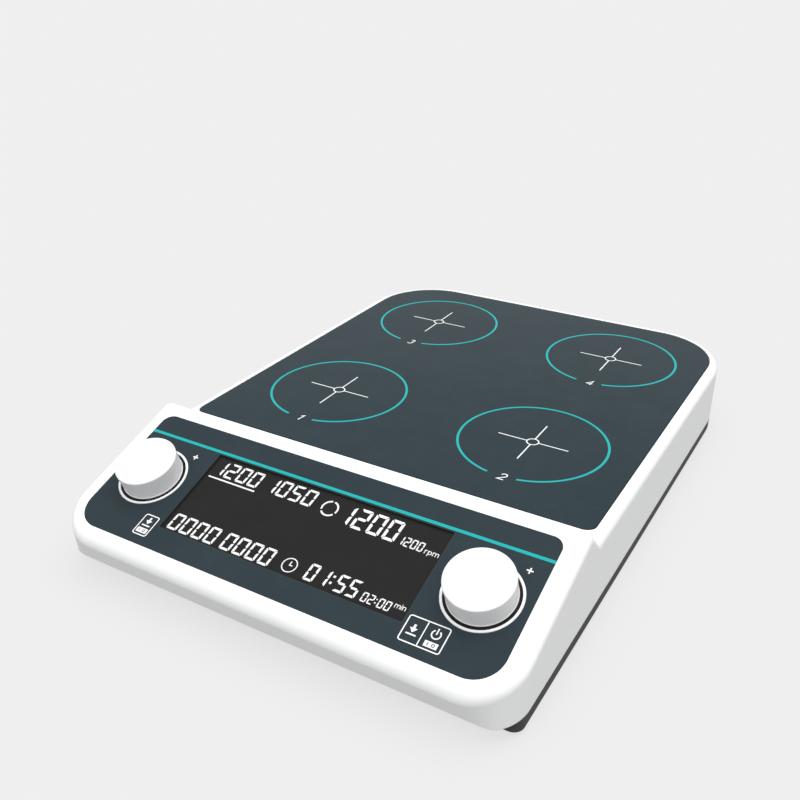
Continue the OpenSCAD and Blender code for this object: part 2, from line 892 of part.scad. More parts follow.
module main_board() {
    color("darkgreen") {
        difference() {
            translate([-main_w / 2, main_y0, main_z])
                cube([main_w, main_d, board_t]);
            for (p = MAIN_POSTS)
                translate([p[0], p[1], main_z - over])
                    cylinder(r = small_screw_r + fit_gap, h = board_t + 2 * over);
        }
        for (side = [0, 1])
            mirror([side, 0, 0])
                translate([front_lane_x - loose_gap, lead_end_y, mount_z - board_t / 2])
                    cube([motor_plug_x - front_lane_x, plug_d, plug_h + board_t / 2]);
        translate([-ribbon_w / 2, ribbon_end_y - plug_d / 2, ribbon_end_z])
            cube([ribbon_w, plug_d, main_z - ribbon_end_z + board_t / 2]);
    }
}

// End of the ribbon, under the main board
ribbon_end_y = (main_y0 + main_y1) / 2;
ribbon_end_z = floor_z + 2 * ribbon_t;

module main_board_screws() {
    color("silver")
        for (p = MAIN_POSTS)
            translate([p[0], p[1], mount_z])
                mirror([0, 0, 1])
                    screw(small_screw_r, small_screw_l, small_head_r, small_head_h);
}

module power_inlet() {
    color("black")
        difference() {
            union() {
                translate([inlet_x - inlet_w / 2, inlet_y0, mount_z])
                    cube([inlet_w, back_y - wall - inlet_y0, inlet_z + inlet_r]);
                translate([inlet_x, back_y - inlet_sink, inlet_axis_z])
                    rotate([90, 0, 0])
                        cylinder(r = inlet_r, h = wall + over);
            }
            translate([inlet_x, back_y - inlet_sink, inlet_axis_z])
                rotate([90, 0, 0])
                    difference() {
                        translate([0, 0, -over])
                            cylinder(r = inlet_bore_r, h = inlet_depth + over);
                        translate([0, 0, inlet_sink])
                            cylinder(r = inlet_pin_r, h = inlet_depth + over);
                    }
        }
}

// Flat ribbon: down from the control board, back along the floor and up to the main board
module ribbon_cable() {
    top_front = panel_point(ribbon_s, ribbon_h);
    top_back = top_front + ribbon_t * [1, tan(panel_tilt)];
    color("gray")
        across(ribbon_w)
            polygon([
                top_front, top_back,
                [top_back[0], floor_z + ribbon_t],
                [ribbon_end_y, floor_z + ribbon_t],
                [ribbon_end_y, ribbon_end_z],
                [ribbon_end_y + ribbon_t, ribbon_end_z],
                [ribbon_end_y + ribbon_t, floor_z],
                [top_front[0], floor_z]
            ]);
}

module rubber_feet() {
    color("black")
        for (p = FEET)
            translate([p[0], p[1], 0])
                cylinder(r = foot_r, h = foot_h);
}

module case_screws() {
    color("silver")
        for (p = CASE_SCREWS)
            translate([p[0], p[1], case_seat_z])
                screw(case_screw_r, case_screw_l, case_head_r, case_head_h);
}

top_housing();
base_tray();
stirring_plate();
plate_seal();
control_overlay();
display_window();
display_panel();
display_frame();
control_board();
control_board_screws();
encoder(-1);  // left_encoder
encoder(1);  // right_encoder
plunger(-1);  // left_plunger
plunger(1);  // right_plunger
encoder_shaft(-1);  // left_shaft
encoder_shaft(1);  // right_shaft
knob(-1);  // left_knob
knob(1);  // right_knob
motor_bracket();
bracket_screws();
motor_screws();
motor_bushes();
motor_leads();
motor(0);  // motor_1
motor(1);  // motor_2
motor(2);  // motor_3
motor(3);  // motor_4
rotor_shaft(0);  // rotor_shaft_1
rotor_shaft(1);  // rotor_shaft_2
rotor_shaft(2);  // rotor_shaft_3
rotor_shaft(3);  // rotor_shaft_4
magnet_holder(0);  // magnet_holder_1
magnet_holder(1);  // magnet_holder_2
magnet_holder(2);  // magnet_holder_3
magnet_holder(3);  // magnet_holder_4
magnets(0);  // magnets_1
magnets(1);  // magnets_2
magnets(2);  // magnets_3
magnets(3);  // magnets_4
main_board();
main_board_screws();
power_inlet();
ribbon_cable();
rubber_feet();
case_screws();
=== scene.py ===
import math

import bmesh
import bpy
from mathutils import Matrix, Vector
from mathutils.geometry import tessellate_polygon


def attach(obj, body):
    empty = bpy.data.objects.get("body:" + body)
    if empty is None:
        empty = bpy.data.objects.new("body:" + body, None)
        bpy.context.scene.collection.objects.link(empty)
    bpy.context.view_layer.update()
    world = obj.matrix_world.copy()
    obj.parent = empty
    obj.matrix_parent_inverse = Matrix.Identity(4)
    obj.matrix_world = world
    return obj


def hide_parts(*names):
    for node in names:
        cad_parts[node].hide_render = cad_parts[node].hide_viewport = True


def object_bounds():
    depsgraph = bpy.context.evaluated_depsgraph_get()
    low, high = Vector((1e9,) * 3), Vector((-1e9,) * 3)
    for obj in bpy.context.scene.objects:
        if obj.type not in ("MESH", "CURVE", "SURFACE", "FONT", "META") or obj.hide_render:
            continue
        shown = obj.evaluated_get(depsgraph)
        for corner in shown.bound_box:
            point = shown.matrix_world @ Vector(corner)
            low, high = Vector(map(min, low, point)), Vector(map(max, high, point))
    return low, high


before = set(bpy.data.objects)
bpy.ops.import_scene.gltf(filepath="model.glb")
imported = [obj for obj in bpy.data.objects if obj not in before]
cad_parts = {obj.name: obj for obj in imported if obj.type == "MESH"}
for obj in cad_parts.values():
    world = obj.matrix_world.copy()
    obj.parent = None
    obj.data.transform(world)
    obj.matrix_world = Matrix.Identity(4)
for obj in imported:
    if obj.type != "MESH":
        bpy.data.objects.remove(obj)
cad_box = [list(corner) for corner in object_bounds()]
scene = bpy.context.scene
scene.view_settings.view_transform = "Standard"

# Sizes in millimetres: X to the right, Y to the back, Z up from the bench
MM = 0.001

# Body: side and end of the solids, and the dressed shell a hair inside them
SIDE_X, END_Y = (round(reach / MM, 3) for reach in cad_box[1][:2])
HAIR = 0.01
HALF_W = SIDE_X - HAIR
FRONT_Y, BACK_Y = 2 * HAIR - END_Y, END_Y - HAIR
SHELL_Z, DECK_Z = 7.2, 39.0
EDGE_R = 4.2
FRONT_R, BACK_R = 20.0, 41.0
FRONT_STEPS, BACK_STEPS = 24, 32
WALL = 2.5

# How far a cutting block reaches past the wall that it cuts
PAST = 9.0

# Printed overlay, in the panel's own frame: x, s up the slope, h off its face
OVERLAY_X, OVERLAY_S = SIDE_X - 7.9, 64.5
OVERLAY_FRONT_R, OVERLAY_BACK_R = 12.0, 5.0
OVERLAY_T, OVERLAY_GAP = 0.5, 0.12

# Sloped control panel: tilt, nose, white borders before and behind the overlay, and its underside
TILT = math.radians(19.3)
NOSE_Z, NOSE_BORDER, CREST_BORDER, PANEL_UNDER = 23.0, 6.8, 6.6, 2.65
PANEL_Y = EDGE_R * (1 - math.sin(TILT) - math.cos(TILT)) + NOSE_BORDER * math.cos(TILT) - END_Y
PANEL_Z = NOSE_Z + NOSE_BORDER * math.sin(TILT)
PANEL = Matrix.Translation((0, PANEL_Y, PANEL_Z)) @ Matrix.Rotation(TILT, 4, "X")

# Crest behind the overlay, the step down to the deck, and the foot of the front wall
CREST_S = OVERLAY_S + CREST_BORDER
CREST_Y, CREST_Z = PANEL_Y + CREST_S * math.cos(TILT), PANEL_Z + CREST_S * math.sin(TILT)
CREST_R, STEP_FALL, STEP_FOOT_R = 3.0, 45, 1.0
STEP_FOOT_Y = CREST_Y + (CREST_Z - DECK_Z) / math.tan(math.radians(STEP_FALL))
LOWER_FRONT_Y = 4.6 - END_Y

# Stirring plate, its seat and the stirring positions, each from the edges round it
PLATE_X, PLATE_Y0, PLATE_Y1 = SIDE_X - 5.0, STEP_FOOT_Y + 4.5, END_Y - 5.2
PLATE_FRONT_R, PLATE_BACK_R = 4.4, 34.3
PLATE_T, PLATE_GAP, SEAL_T, LEDGE_T, LEDGE_W = 4.0, 0.3, 0.5, 3.0, 10.0
SEAT_Z = DECK_Z - PLATE_T - SEAL_T
LEDGE_Z = SEAT_Z - LEDGE_T
STIR_X, STIR_FRONT, STIR_BACK = PLATE_X - 47.5, PLATE_Y0 + 52.9, PLATE_Y1 - 50.2
STIR_MID = (STIR_FRONT + STIR_BACK) / 2
STIR = [(sx * STIR_X, y) for y in (STIR_FRONT, STIR_BACK) for sx in (-1, 1)]

# Base tray, the housing's lip over its rim, feet and case screws
BASE_SKIRT_Z, BASE_Z, BASE_FLOOR_Z, BASE_RIM_Z = 2.25, 3.4, 5.0, 10.0
LIP_Z = BASE_RIM_Z + 0.3
BASE_FRONT_Y, BASE_FRONT_R = 12.2 - END_Y, 4.5
FOOT_R = 9.0
FEET = [(sx * (SIDE_X - 20.0), y) for sx in (-1, 1) for y in (37.5 - END_Y, END_Y - 26.0)]
CASE_SCREWS = [(sx * (SIDE_X - 8.74), y) for sx in (-1, 1) for y in (27.5 - END_Y, STIR_FRONT, END_Y - 45.0)]

# Posts and bosses that hold the inner pieces: places, radii, screw holes and seats
POST_REACH, MID_POST_X = 17.5, 11.3
POST_X = STIR_X + POST_REACH
BRACKET_POSTS = [(sx * x, y) for sx in (-1, 1) for x, y in (
    (POST_X, STIR_FRONT - POST_REACH), (POST_X, STIR_MID), (POST_X, STIR_BACK + POST_REACH),
    (MID_POST_X, STIR_MID))]
MAIN_POSTS = [(sx * 66.0, END_Y - inset) for sx in (-1, 1) for inset in (26.4, 10.4)]
BOARD_POSTS = [(sx * 64.6, s) for sx in (-1, 1) for s in (7.0, 57.0)]
POST_R, BOARD_POST_R, BOSS_R = 4.0, 3.0, 4.0
POST_HOLE_R, BOSS_HOLE_R = 1.04, 1.54
BRACKET_Z, MAIN_Z, BOSS_Z, BOARD_DEPTH = 9.9, 9.8, 8.0, 14.0

# Knobs, their holes and collars, and the display, in the panel's frame
KNOB_X, KNOB_S = OVERLAY_X - 18.6, 31.6
KNOB_R, KNOB_H, KNOB_SINK, KNOB_WALL, KNOB_EDGE_R = 13.3, 10.06, 1.6, 2.0, 0.6
KNOB_FOOT_R, KNOB_LOW_R, KNOB_SKIRT_H, KNOB_LIP = 12.6, 13.0, 0.35, 0.2
HUB_R, SHAFT_R = 5.5, 3.04
HOLE_R, COLLAR_IN_R, COLLAR_R, COLLAR_H = 14.3, 14.35, 15.35, 0.3
WINDOW_X, WINDOW_S0, WINDOW_S1, WINDOW_R = KNOB_X - 21.2, 10.5, 52.7, 0.6
WINDOW_SINK, WINDOW_T, WINDOW_FLANGE, PANEL_T = 1.0, 1.2, 4.0, 3.0

# Power inlet: its axis looks out of the back wall
INLET_X, INLET_Z, INLET_R, INLET_BORE_R = -50.0, 18.2, 4.2, 2.9
INLET_PIN_R, INLET_DEPTH, INLET_SINK, INLET_TAIL = 1.05, 9.0, 0.4, 9.5
INLET_FRAME = Matrix.Translation((INLET_X, BACK_Y, INLET_Z)) @ Matrix.Rotation(math.radians(-90), 4, "X")

# Thickness of printed ink and of the display's segments, and how far both sink into what carries them
INK, INK_SINK = 0.04, 0.01

# Camera: place in metres, yaw, downward pitch and roll in degrees, focal length and sensor in millimetres
CAMERA_PLACE = (0.1848, -0.3503, 0.2432)
CAMERA_YAW, CAMERA_PITCH, CAMERA_ROLL = 30.709, 26.945, -0.153
CAMERA_LENS, CAMERA_SENSOR = 41.24, 36.0

# Studio: what the floor and the background show to the camera, and the light that they throw
WHITE = (1.0, 1.0, 1.0, 1.0)
FLOOR_GREY, FLOOR_SHOWN, FLOOR_THROWN = 0.11, 0.7, 0.48
SKY_SHOWN, SKY_THROWN = 0.863, 0.8
# Soft sun lamps: name, strength, then width, tip and turn in degrees
LIGHTS = [("overhead_light", 1.4, 50, 20, 50), ("front_light", 1.0, 50, 26, -92)]


def place_camera():
    lens = bpy.data.cameras.new("photo_camera")
    lens.lens, lens.sensor_width = CAMERA_LENS, CAMERA_SENSOR
    lens.clip_start, lens.clip_end = 0.01, 100.0
    camera = bpy.data.objects.new("photo_camera", lens)
    scene.collection.objects.link(camera)
    turn = Matrix.Rotation(math.radians(CAMERA_YAW), 4, "Z")
    tip = Matrix.Rotation(math.radians(90 - CAMERA_PITCH), 4, "X")
    roll = Matrix.Rotation(math.radians(CAMERA_ROLL), 4, "Z")
    camera.matrix_world = Matrix.Translation(CAMERA_PLACE) @ turn @ tip @ roll
    scene.camera = camera


# Shader nodes

def add(tree, kind, sockets=None, **settings):
    """A node, with its settings, and its sockets linked or set."""
    node = tree.nodes.new(kind)
    for key, value in settings.items():
        setattr(node, key, value)
    for key, value in (sockets or {}).items():
        if isinstance(value, bpy.types.NodeSocket):
            tree.links.new(value, node.inputs[key])
        else:
            node.inputs[key].default_value = value
    return node


def calc(tree, operation, *values):
    return add(tree, "ShaderNodeMath", dict(enumerate(values)), operation=operation).outputs[0]


def span(tree, value, low, high, to_low=0.0, to_high=1.0):
    """A value spread from one range to another, clamped."""
    return add(tree, "ShaderNodeMapRange", {
        "Value": value, "From Min": low, "From Max": high, "To Min": to_low, "To Max": to_high,
    }).outputs["Result"]


def blend_colours(tree, share, first, second):
    return add(tree, "ShaderNodeMix", {0: share, 6: first, 7: second}, data_type="RGBA").outputs[2]


def effect(name, inputs, outputs):
    """An empty node group with named sockets. An input is a colour if its value is a tuple, else a number."""
    tree = bpy.data.node_groups.new(name, "ShaderNodeTree")
    for label, value in inputs.items():
        kind = "NodeSocketColor" if isinstance(value, tuple) else "NodeSocketFloat"
        tree.interface.new_socket(label, in_out="INPUT", socket_type=kind).default_value = value
    for label, kind in outputs.items():
        tree.interface.new_socket(label, in_out="OUTPUT", socket_type="NodeSocket" + kind)
    return tree, tree.nodes.new("NodeGroupInput").outputs, tree.nodes.new("NodeGroupOutput").inputs


def make_moulded_grain():
    """Fine spark-eroded texture of a mould, as a height."""
    tree, given, out = effect("moulded grain", {"Scale": 900.0, "Pits": 0.4}, {"Height": "Float"})
    place = add(tree, "ShaderNodeTexCoord").outputs["Object"]
    fine = add(tree, "ShaderNodeTexNoise", {
        "Vector": place, "Scale": given["Scale"], "Detail": 4.0, "Roughness": 0.65})
    pits = add(tree, "ShaderNodeTexVoronoi", {
        "Vector": place, "Scale": given["Scale"]}, feature="SMOOTH_F1")
    both = add(tree, "ShaderNodeMix", {
        0: given["Pits"], 2: fine.outputs["Fac"], 3: pits.outputs["Distance"]})
    tree.links.new(both.outputs[0], out["Height"])
    return tree


def make_tone_drift():
    """Slow drift in the brightness of a colour over a piece."""
    tree, given, out = effect(
        "tone drift", {"Colour": (0.8, 0.8, 0.8, 1.0), "Spread": 0.04, "Scale": 9.0}, {"Colour": "Color"})
    place = add(tree, "ShaderNodeTexCoord").outputs["Object"]
    cloud = add(tree, "ShaderNodeTexNoise", {"Vector": place, "Scale": given["Scale"], "Detail": 3.0})
    swing = calc(tree, "MULTIPLY_ADD", cloud.outputs["Fac"], 2.0, -1.0)
    value = calc(tree, "MULTIPLY_ADD", swing, given["Spread"], 1.0)
    toned = add(tree, "ShaderNodeHueSaturation", {"Color": given["Colour"], "Value": value})
    tree.links.new(toned.outputs["Color"], out["Colour"])
    return tree


def make_wipe_marks():
    """Long faint streaks left by wiping, as a roughness."""
    tree, given, out = effect(
        "wipe marks", {"Roughness": 0.4, "Spread": 0.05, "Scale": 18.0}, {"Roughness": "Float"})
    place = add(tree, "ShaderNodeTexCoord").outputs["Object"]
    drawn = add(tree, "ShaderNodeMapping", {
        "Vector": place, "Rotation": (0.0, 0.0, 0.35), "Scale": (0.25, 1.0, 1.0)})
    marks = add(tree, "ShaderNodeTexNoise", {
        "Vector": drawn.outputs["Vector"], "Scale": given["Scale"], "Detail": 6.0, "Distortion": 0.6})
    swing = calc(tree, "MULTIPLY_ADD", marks.outputs["Fac"], 2.0, -1.0)
    rough = calc(tree, "MULTIPLY_ADD", swing, given["Spread"], given["Roughness"])
    tree.links.new(rough, out["Roughness"])
    return tree


def make_settled_dust():
    """Thin dust on faces that look up: it greys the colour and dulls the gloss."""
    tree, given, out = effect(
        "settled dust",
        {"Colour": (0.8, 0.8, 0.8, 1.0), "Roughness": 0.4, "Dust": (0.55, 0.54, 0.52, 1.0), "Amount": 0.05},
        {"Colour": "Color", "Roughness": "Float"})
    place = add(tree, "ShaderNodeTexCoord").outputs["Object"]
    cloud = add(tree, "ShaderNodeTexNoise", {"Vector": place, "Scale": 60.0, "Detail": 8.0, "Roughness": 0.7})
    facing = add(tree, "ShaderNodeSeparateXYZ", {0: add(tree, "ShaderNodeNewGeometry").outputs["Normal"]})
    level = span(tree, facing.outputs["Z"], 0.35, 0.95)
    patches = span(tree, cloud.outputs["Fac"], 0.4, 0.75)
    share = calc(tree, "MULTIPLY", calc(tree, "MULTIPLY", level, patches), given["Amount"])
    tree.links.new(blend_colours(tree, share, given["Colour"], given["Dust"]), out["Colour"])
    tree.links.new(calc(tree, "MULTIPLY_ADD", share, 0.5, given["Roughness"]), out["Roughness"])
    return tree


def make_specks():
    """Sparse tiny specks fired or ground into a material, as a mask."""
    tree, given, out = effect("specks", {"Scale": 1500.0, "Share": 0.12}, {"Mask": "Float"})
    place = add(tree, "ShaderNodeTexCoord").outputs["Object"]
    cells = add(tree, "ShaderNodeTexVoronoi", {"Vector": place, "Scale": given["Scale"]})
    lot = add(tree, "ShaderNodeSeparateColor", {0: cells.outputs["Color"]}).outputs["Red"]
    chosen = calc(tree, "LESS_THAN", lot, given["Share"])
    spot = span(tree, cells.outputs["Distance"], 0.38, 0.22)
    tree.links.new(calc(tree, "MULTIPLY", chosen, spot), out["Mask"])
    return tree


def make_drawn_lines():
    """Fine lines of drawn, rolled or turned metal, as a height."""
    tree, given, out = effect("drawn lines", {"Scale": 700.0}, {"Height": "Float"})
    place = add(tree, "ShaderNodeTexCoord").outputs["Object"]
    drawn = add(tree, "ShaderNodeMapping", {"Vector": place, "Scale": (0.03, 1.0, 1.0)})
    lines = add(tree, "ShaderNodeTexNoise", {
        "Vector": drawn.outputs["Vector"], "Scale": given["Scale"], "Detail": 3.0})
    tree.links.new(lines.outputs["Fac"], out["Height"])
    return tree


MOULDED_GRAIN = make_moulded_grain()
TONE_DRIFT = make_tone_drift()
WIPE_MARKS = make_wipe_marks()
SETTLED_DUST = make_settled_dust()
SPECKS = make_specks()
DRAWN_LINES = make_drawn_lines()


def use(tree, group, **sockets):
    """A node group placed in a material with its own values."""
    return add(tree, "ShaderNodeGroup", node_tree=group, sockets={
        key.replace("_", " ").capitalize(): value for key, value in sockets.items()}).outputs


def finish(name, colour, rough, *, spread=0.05, wipe_scale=18.0, drift=0.03, drift_scale=9.0,
           grain=900.0, pits=0.4, depth=0.02, dust=0.02, specks=None, speck_colour=(0.5, 0.5, 0.5, 1.0),
           lines=None, metallic=0.0, specular=0.5, glow=0.0):
    """A material: toned colour, wiped and dusted roughness, and a bump of grain or lines, its depth in mm."""
    material = bpy.data.materials.new(name)
    material.use_nodes = True
    tree = material.node_tree
    shader = tree.nodes["Principled BSDF"]
    shade = use(tree, TONE_DRIFT, colour=(*colour, 1.0), spread=drift, scale=drift_scale)["Colour"]
    if specks:
        mask = use(tree, SPECKS, scale=specks[0], share=specks[1])["Mask"]
        shade = blend_colours(tree, mask, shade, speck_colour)
    marks = use(tree, WIPE_MARKS, roughness=rough, spread=spread, scale=wipe_scale)["Roughness"]
    top = use(tree, SETTLED_DUST, colour=shade, roughness=marks, amount=dust)
    if lines:
        height = use(tree, DRAWN_LINES, scale=lines)["Height"]
    else:
        height = use(tree, MOULDED_GRAIN, scale=grain, pits=pits)["Height"]
    bump = add(tree, "ShaderNodeBump", {"Strength": 1.0, "Distance": depth * MM, "Height": height})
    tree.links.new(top["Colour"], shader.inputs["Base Color"])
    tree.links.new(top["Roughness"], shader.inputs["Roughness"])
    tree.links.new(bump.outputs["Normal"], shader.inputs["Normal"])
    shader.inputs["Metallic"].default_value = metallic
    shader.inputs["Specular IOR Level"].default_value = specular
    if glow:
        tree.links.new(top["Colour"], shader.inputs["Emission Color"])
        shader.inputs["Emission Strength"].default_value = glow
    return material


WHITE_MOULDING = finish("white satin moulding", (0.86, 0.865, 0.87), 0.42, drift=0.012, dust=0.03)
# The knobs' white is the housing's white made darker: painted shade on the knob sides
KNOB_SHADED_WHITE = finish("white knob moulding darkened for painted shade", (0.8, 0.8, 0.805), 0.36, drift=0.01, grain=1300.0, depth=0.012)
BASE_GREY = finish(
    "dark grey base moulding", (0.05, 0.052, 0.054), 0.55, grain=700.0, pits=0.6, depth=0.04, specular=0.2)
PLATE_CERAMIC = finish(
    "slate glass ceramic", (0.019, 0.0325, 0.040), 0.3, wipe_scale=12.0, grain=600.0, depth=0.004, dust=0.01,
    specks=(900.0, 0.06), speck_colour=(0.031, 0.047, 0.056, 1.0), specular=0.06)
OVERLAY_FILM = finish(
    "slate printed film", (0.0238, 0.0362, 0.0438), 0.45, drift=0.02, grain=1600.0, depth=0.006, dust=0.01,
    specular=0.06)
LENS_BLACK = finish(
    "smoked display lens", (0.0168, 0.0168, 0.017), 0.25, spread=0.06, drift=0.05, grain=300.0, depth=0.001,
    dust=0.005, specular=0.06)
TEAL_INK = finish(
    "teal ink", (0.016, 0.36, 0.36), 0.4, grain=1800.0, depth=0.006, dust=0.0, specular=0.06)
WHITE_INK = finish("white ink", (0.84, 0.84, 0.84), 0.45, drift=0.02, grain=1800.0, depth=0.006, dust=0.0)
DARK_INK = finish("dark ink", (0.018, 0.030, 0.041), 0.45, drift=0.02, grain=1800.0, depth=0.006, dust=0.0)
SEGMENT_WHITE = finish(
    "lit display segments", (0.7, 0.7, 0.7), 0.4, drift=0.01, depth=0.001, dust=0.0, glow=0.12)
RUBBER = finish(
    "black rubber", (0.013, 0.013, 0.014), 0.75, drift=0.1, grain=1100.0, pits=0.7, depth=0.05,
    specks=(1400.0, 0.1), speck_colour=(0.03, 0.03, 0.03, 1.0), specular=0.15)
BLACK_MOULDING = finish("black moulding", (0.018, 0.018, 0.019), 0.45, grain=1000.0)
INNER_WHITE = finish("plain white moulding", (0.72, 0.72, 0.7), 0.5, grain=800.0)
BOARD_GREEN = finish(
    "green circuit board", (0.01, 0.09, 0.03), 0.35, drift=0.2, drift_scale=220.0, grain=500.0,
    specks=(420.0, 0.14), speck_colour=(0.55, 0.5, 0.32, 1.0))
STEEL = finish("zinc plated steel", (0.62, 0.62, 0.6), 0.3, lines=900.0, depth=0.006, metallic=1.0)
MOTOR_STEEL = finish("motor can steel", (0.5, 0.5, 0.49), 0.36, lines=500.0, depth=0.006, metallic=1.0)
BRONZE = finish(
    "sintered bronze", (0.45, 0.28, 0.12), 0.45, specks=(2200.0, 0.2), speck_colour=(0.2, 0.12, 0.05, 1.0),
    metallic=1.0)
NICKEL = finish("nickel plate", (0.66, 0.64, 0.58), 0.2, lines=1200.0, depth=0.003, metallic=1.0)
LEAD_SHEATH = finish("black lead sheath", (0.02, 0.02, 0.022), 0.5, grain=1500.0, depth=0.01)
RIBBON_GREY = finish("grey ribbon sheath", (0.32, 0.33, 0.34), 0.5, lines=1100.0, depth=0.06)


def numbered(name):
    """The four nodes of one kind, one for each stirring position."""
    return [f"{name}_{number}" for number in range(1, len(STIR) + 1)]


# Finishes of the CAD nodes that keep their own shape
NODE_FINISHES = {
    RUBBER: ["plate_seal"],
    LENS_BLACK: ["display_panel"],
    INNER_WHITE: ["display_frame", *numbered("magnet_holder")],
    BOARD_GREEN: ["control_board", "main_board"],
    STEEL: ["control_board_screws", "bracket_screws", "motor_screws", "main_board_screws", "case_screws",
            "left_shaft", "right_shaft", "motor_bracket", *numbered("rotor_shaft")],
    BLACK_MOULDING: ["left_encoder", "right_encoder", "left_plunger", "right_plunger"],
    MOTOR_STEEL: numbered("motor"),
    BRONZE: ["motor_bushes"],
    NICKEL: numbered("magnets"),
    LEAD_SHEATH: ["motor_leads"],
    RIBBON_GREY: ["ribbon_cable"],
}


def finish_cad_nodes():
    for material, names in NODE_FINISHES.items():
        for name in names:
            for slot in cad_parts[name].material_slots:
                slot.material = material


# Mesh building, in millimetres

def circle_arc(cx, cy, r, start, end, steps):
    angles = (math.radians(start + (end - start) * k / steps) for k in range(steps + 1))
    return [(cx + r * math.cos(a), cy + r * math.sin(a)) for a in angles]


def full_circle(cx, cy, r, steps=96):
    return circle_arc(cx, cy, r, 0, 360 - 360 / steps, steps - 1)


def rounded(x, y0, y1, front_r, back_r, inset=0.0, steps=20):
    """Outline of a plate with two corner radii, drawn in by an inset, anticlockwise from the front right."""
    least_r = 0.05
    x, y0, y1 = x - inset, y0 + inset, y1 - inset
    front_r, back_r = max(front_r - inset, least_r), max(back_r - inset, least_r)
    front_x, front_y, back_x, back_y = x - front_r, y0 + front_r, x - back_r, y1 - back_r
    return (circle_arc(front_x, front_y, front_r, -90, 0, steps)
            + circle_arc(back_x, back_y, back_r, 0, 90, steps)
            + circle_arc(-back_x, back_y, back_r, 90, 180, steps)
            + circle_arc(-front_x, front_y, front_r, 180, 270, steps))


def plate_outline(inset, steps=20):
    return rounded(PLATE_X, PLATE_Y0, PLATE_Y1, PLATE_FRONT_R, PLATE_BACK_R, inset, steps)


def overlay_outline(inset=0.0):
    return rounded(OVERLAY_X, 0, OVERLAY_S, OVERLAY_FRONT_R, OVERLAY_BACK_R, inset)


def window_outline(inset=0.0):
    return rounded(WINDOW_X, WINDOW_S0, WINDOW_S1, WINDOW_R, WINDOW_R, inset, 6)


def round_edge(z, r, up, steps=5):
    """(inset, height) from a wall round to a face at height z: up is 1 for a top, -1 for an underside."""
    angles = [math.pi / 2 * k / steps for k in range(steps + 1)]
    return [(r * (1 - math.cos(a)), z - up * r * (1 - math.sin(a))) for a in angles]


def skin(bm, rings, caps=True):
    """A surface through rings of points, with or without closed ends. Returns its vertices by ring."""
    loops = [[bm.verts.new(p) for p in ring] for ring in rings]
    for low, high in zip(loops, loops[1:]):
        for i in range(len(low)):
            j = (i + 1) % len(low)
            bm.faces.new((low[i], low[j], high[j], high[i]))
    if caps:
        bm.faces.new(loops[0][::-1])
        bm.faces.new(loops[-1])
    return loops


def turned(bm, path, cx=0.0, cy=0.0, steps=96):
    """A turned solid through (radius, height), with flat ends."""
    skin(bm, [[(x, y, z) for x, y in full_circle(cx, cy, r, steps)] for r, z in path])


def ring_solid(bm, path, cx, cy, steps=96):
    """A turned ring: the path of (radius, height) closes on itself."""
    loops = skin(bm, [[(x, y, z) for x, y in full_circle(cx, cy, r, steps)] for r, z in path], caps=False)
    for i in range(steps):
        j = (i + 1) % steps
        bm.faces.new((loops[-1][i], loops[-1][j], loops[0][j], loops[0][i]))


def screw_post(bm, x, y, r, hole_r, low, high):
    """A moulded post with a screw hole down its middle."""
    ring_solid(bm, [(hole_r, low), (r, low), (r, high), (hole_r, high)], x, y, 32)


def sheet(bm, outer, holes, low, high):
    """A flat sheet with holes between two heights."""
    loops = [outer, *holes]
    flat = [point for loop in loops for point in loop]
    under = [bm.verts.new((x, y, low)) for x, y in flat]
    over = [bm.verts.new((x, y, high)) for x, y in flat]
    for corners in tessellate_polygon([[Vector((x, y, 0)) for x, y in loop] for loop in loops]):
        bm.faces.new([over[i] for i in corners])
        bm.faces.new([under[i] for i in reversed(corners)])
    start = 0
    for loop in loops:
        for i in range(len(loop)):
            a, b = start + i, start + (i + 1) % len(loop)
            bm.faces.new((under[a], under[b], over[b], over[a]))
        start += len(loop)


def bar(bm, x0, y0, x1, y1, low, high):
    sheet(bm, [(x0, y0), (x1, y0), (x1, y1), (x0, y1)], [], low, high)


def arc_band(bm, cx, cy, r, width, start, end, low, high, steps):
    """A printed line of some width along an arc."""
    inner = circle_arc(cx, cy, r - width / 2, start, end, steps)
    outer = circle_arc(cx, cy, r + width / 2, start, end, steps)
    skin(bm, [[(x, y, z) for (x, y), z in zip((a, b, b, a), (low, low, high, high))]
              for a, b in zip(inner, outer)])


def as_object(name, bm, place=Matrix()):
    bm.transform(Matrix.Scale(MM, 4) @ place)
    bmesh.ops.recalc_face_normals(bm, faces=bm.faces[:])
    mesh = bpy.data.meshes.new(name)
    bm.to_mesh(mesh)
    bm.free()
    made = bpy.data.objects.new(name, mesh)
    scene.collection.objects.link(made)
    return made


def make_block(name, outline, path, place=Matrix()):
    """A plate whose outline follows a path of (inset, height)."""
    bm = bmesh.new()
    skin(bm, [[(x, y, z) for x, y in outline(inset)] for inset, z in path])
    return as_object(name, bm, place)


def make_drill(name, path, cx, cy, place=Matrix(), steps=96):
    """A turned block through (radius, height) that cuts a round hole."""
    bm = bmesh.new()
    turned(bm, path, cx, cy, steps)
    return as_object(name, bm, place)


def carve(made, blocks, operation="DIFFERENCE"):
    """Cuts blocks out of an object, or adds or intersects them, and takes the blocks away."""
    for block in blocks:
        cut = made.modifiers.new("cut", "BOOLEAN")
        cut.operation, cut.solver, cut.object = operation, "EXACT", block
    bpy.context.view_layer.update()
    old = made.data
    carved = made.evaluated_get(bpy.context.evaluated_depsgraph_get())
    carved_mesh = bpy.data.meshes.new_from_object(carved)
    made.modifiers.clear()
    made.data = carved_mesh
    bpy.data.meshes.remove(old)
    for block in blocks:
        bpy.data.meshes.remove(block.data)


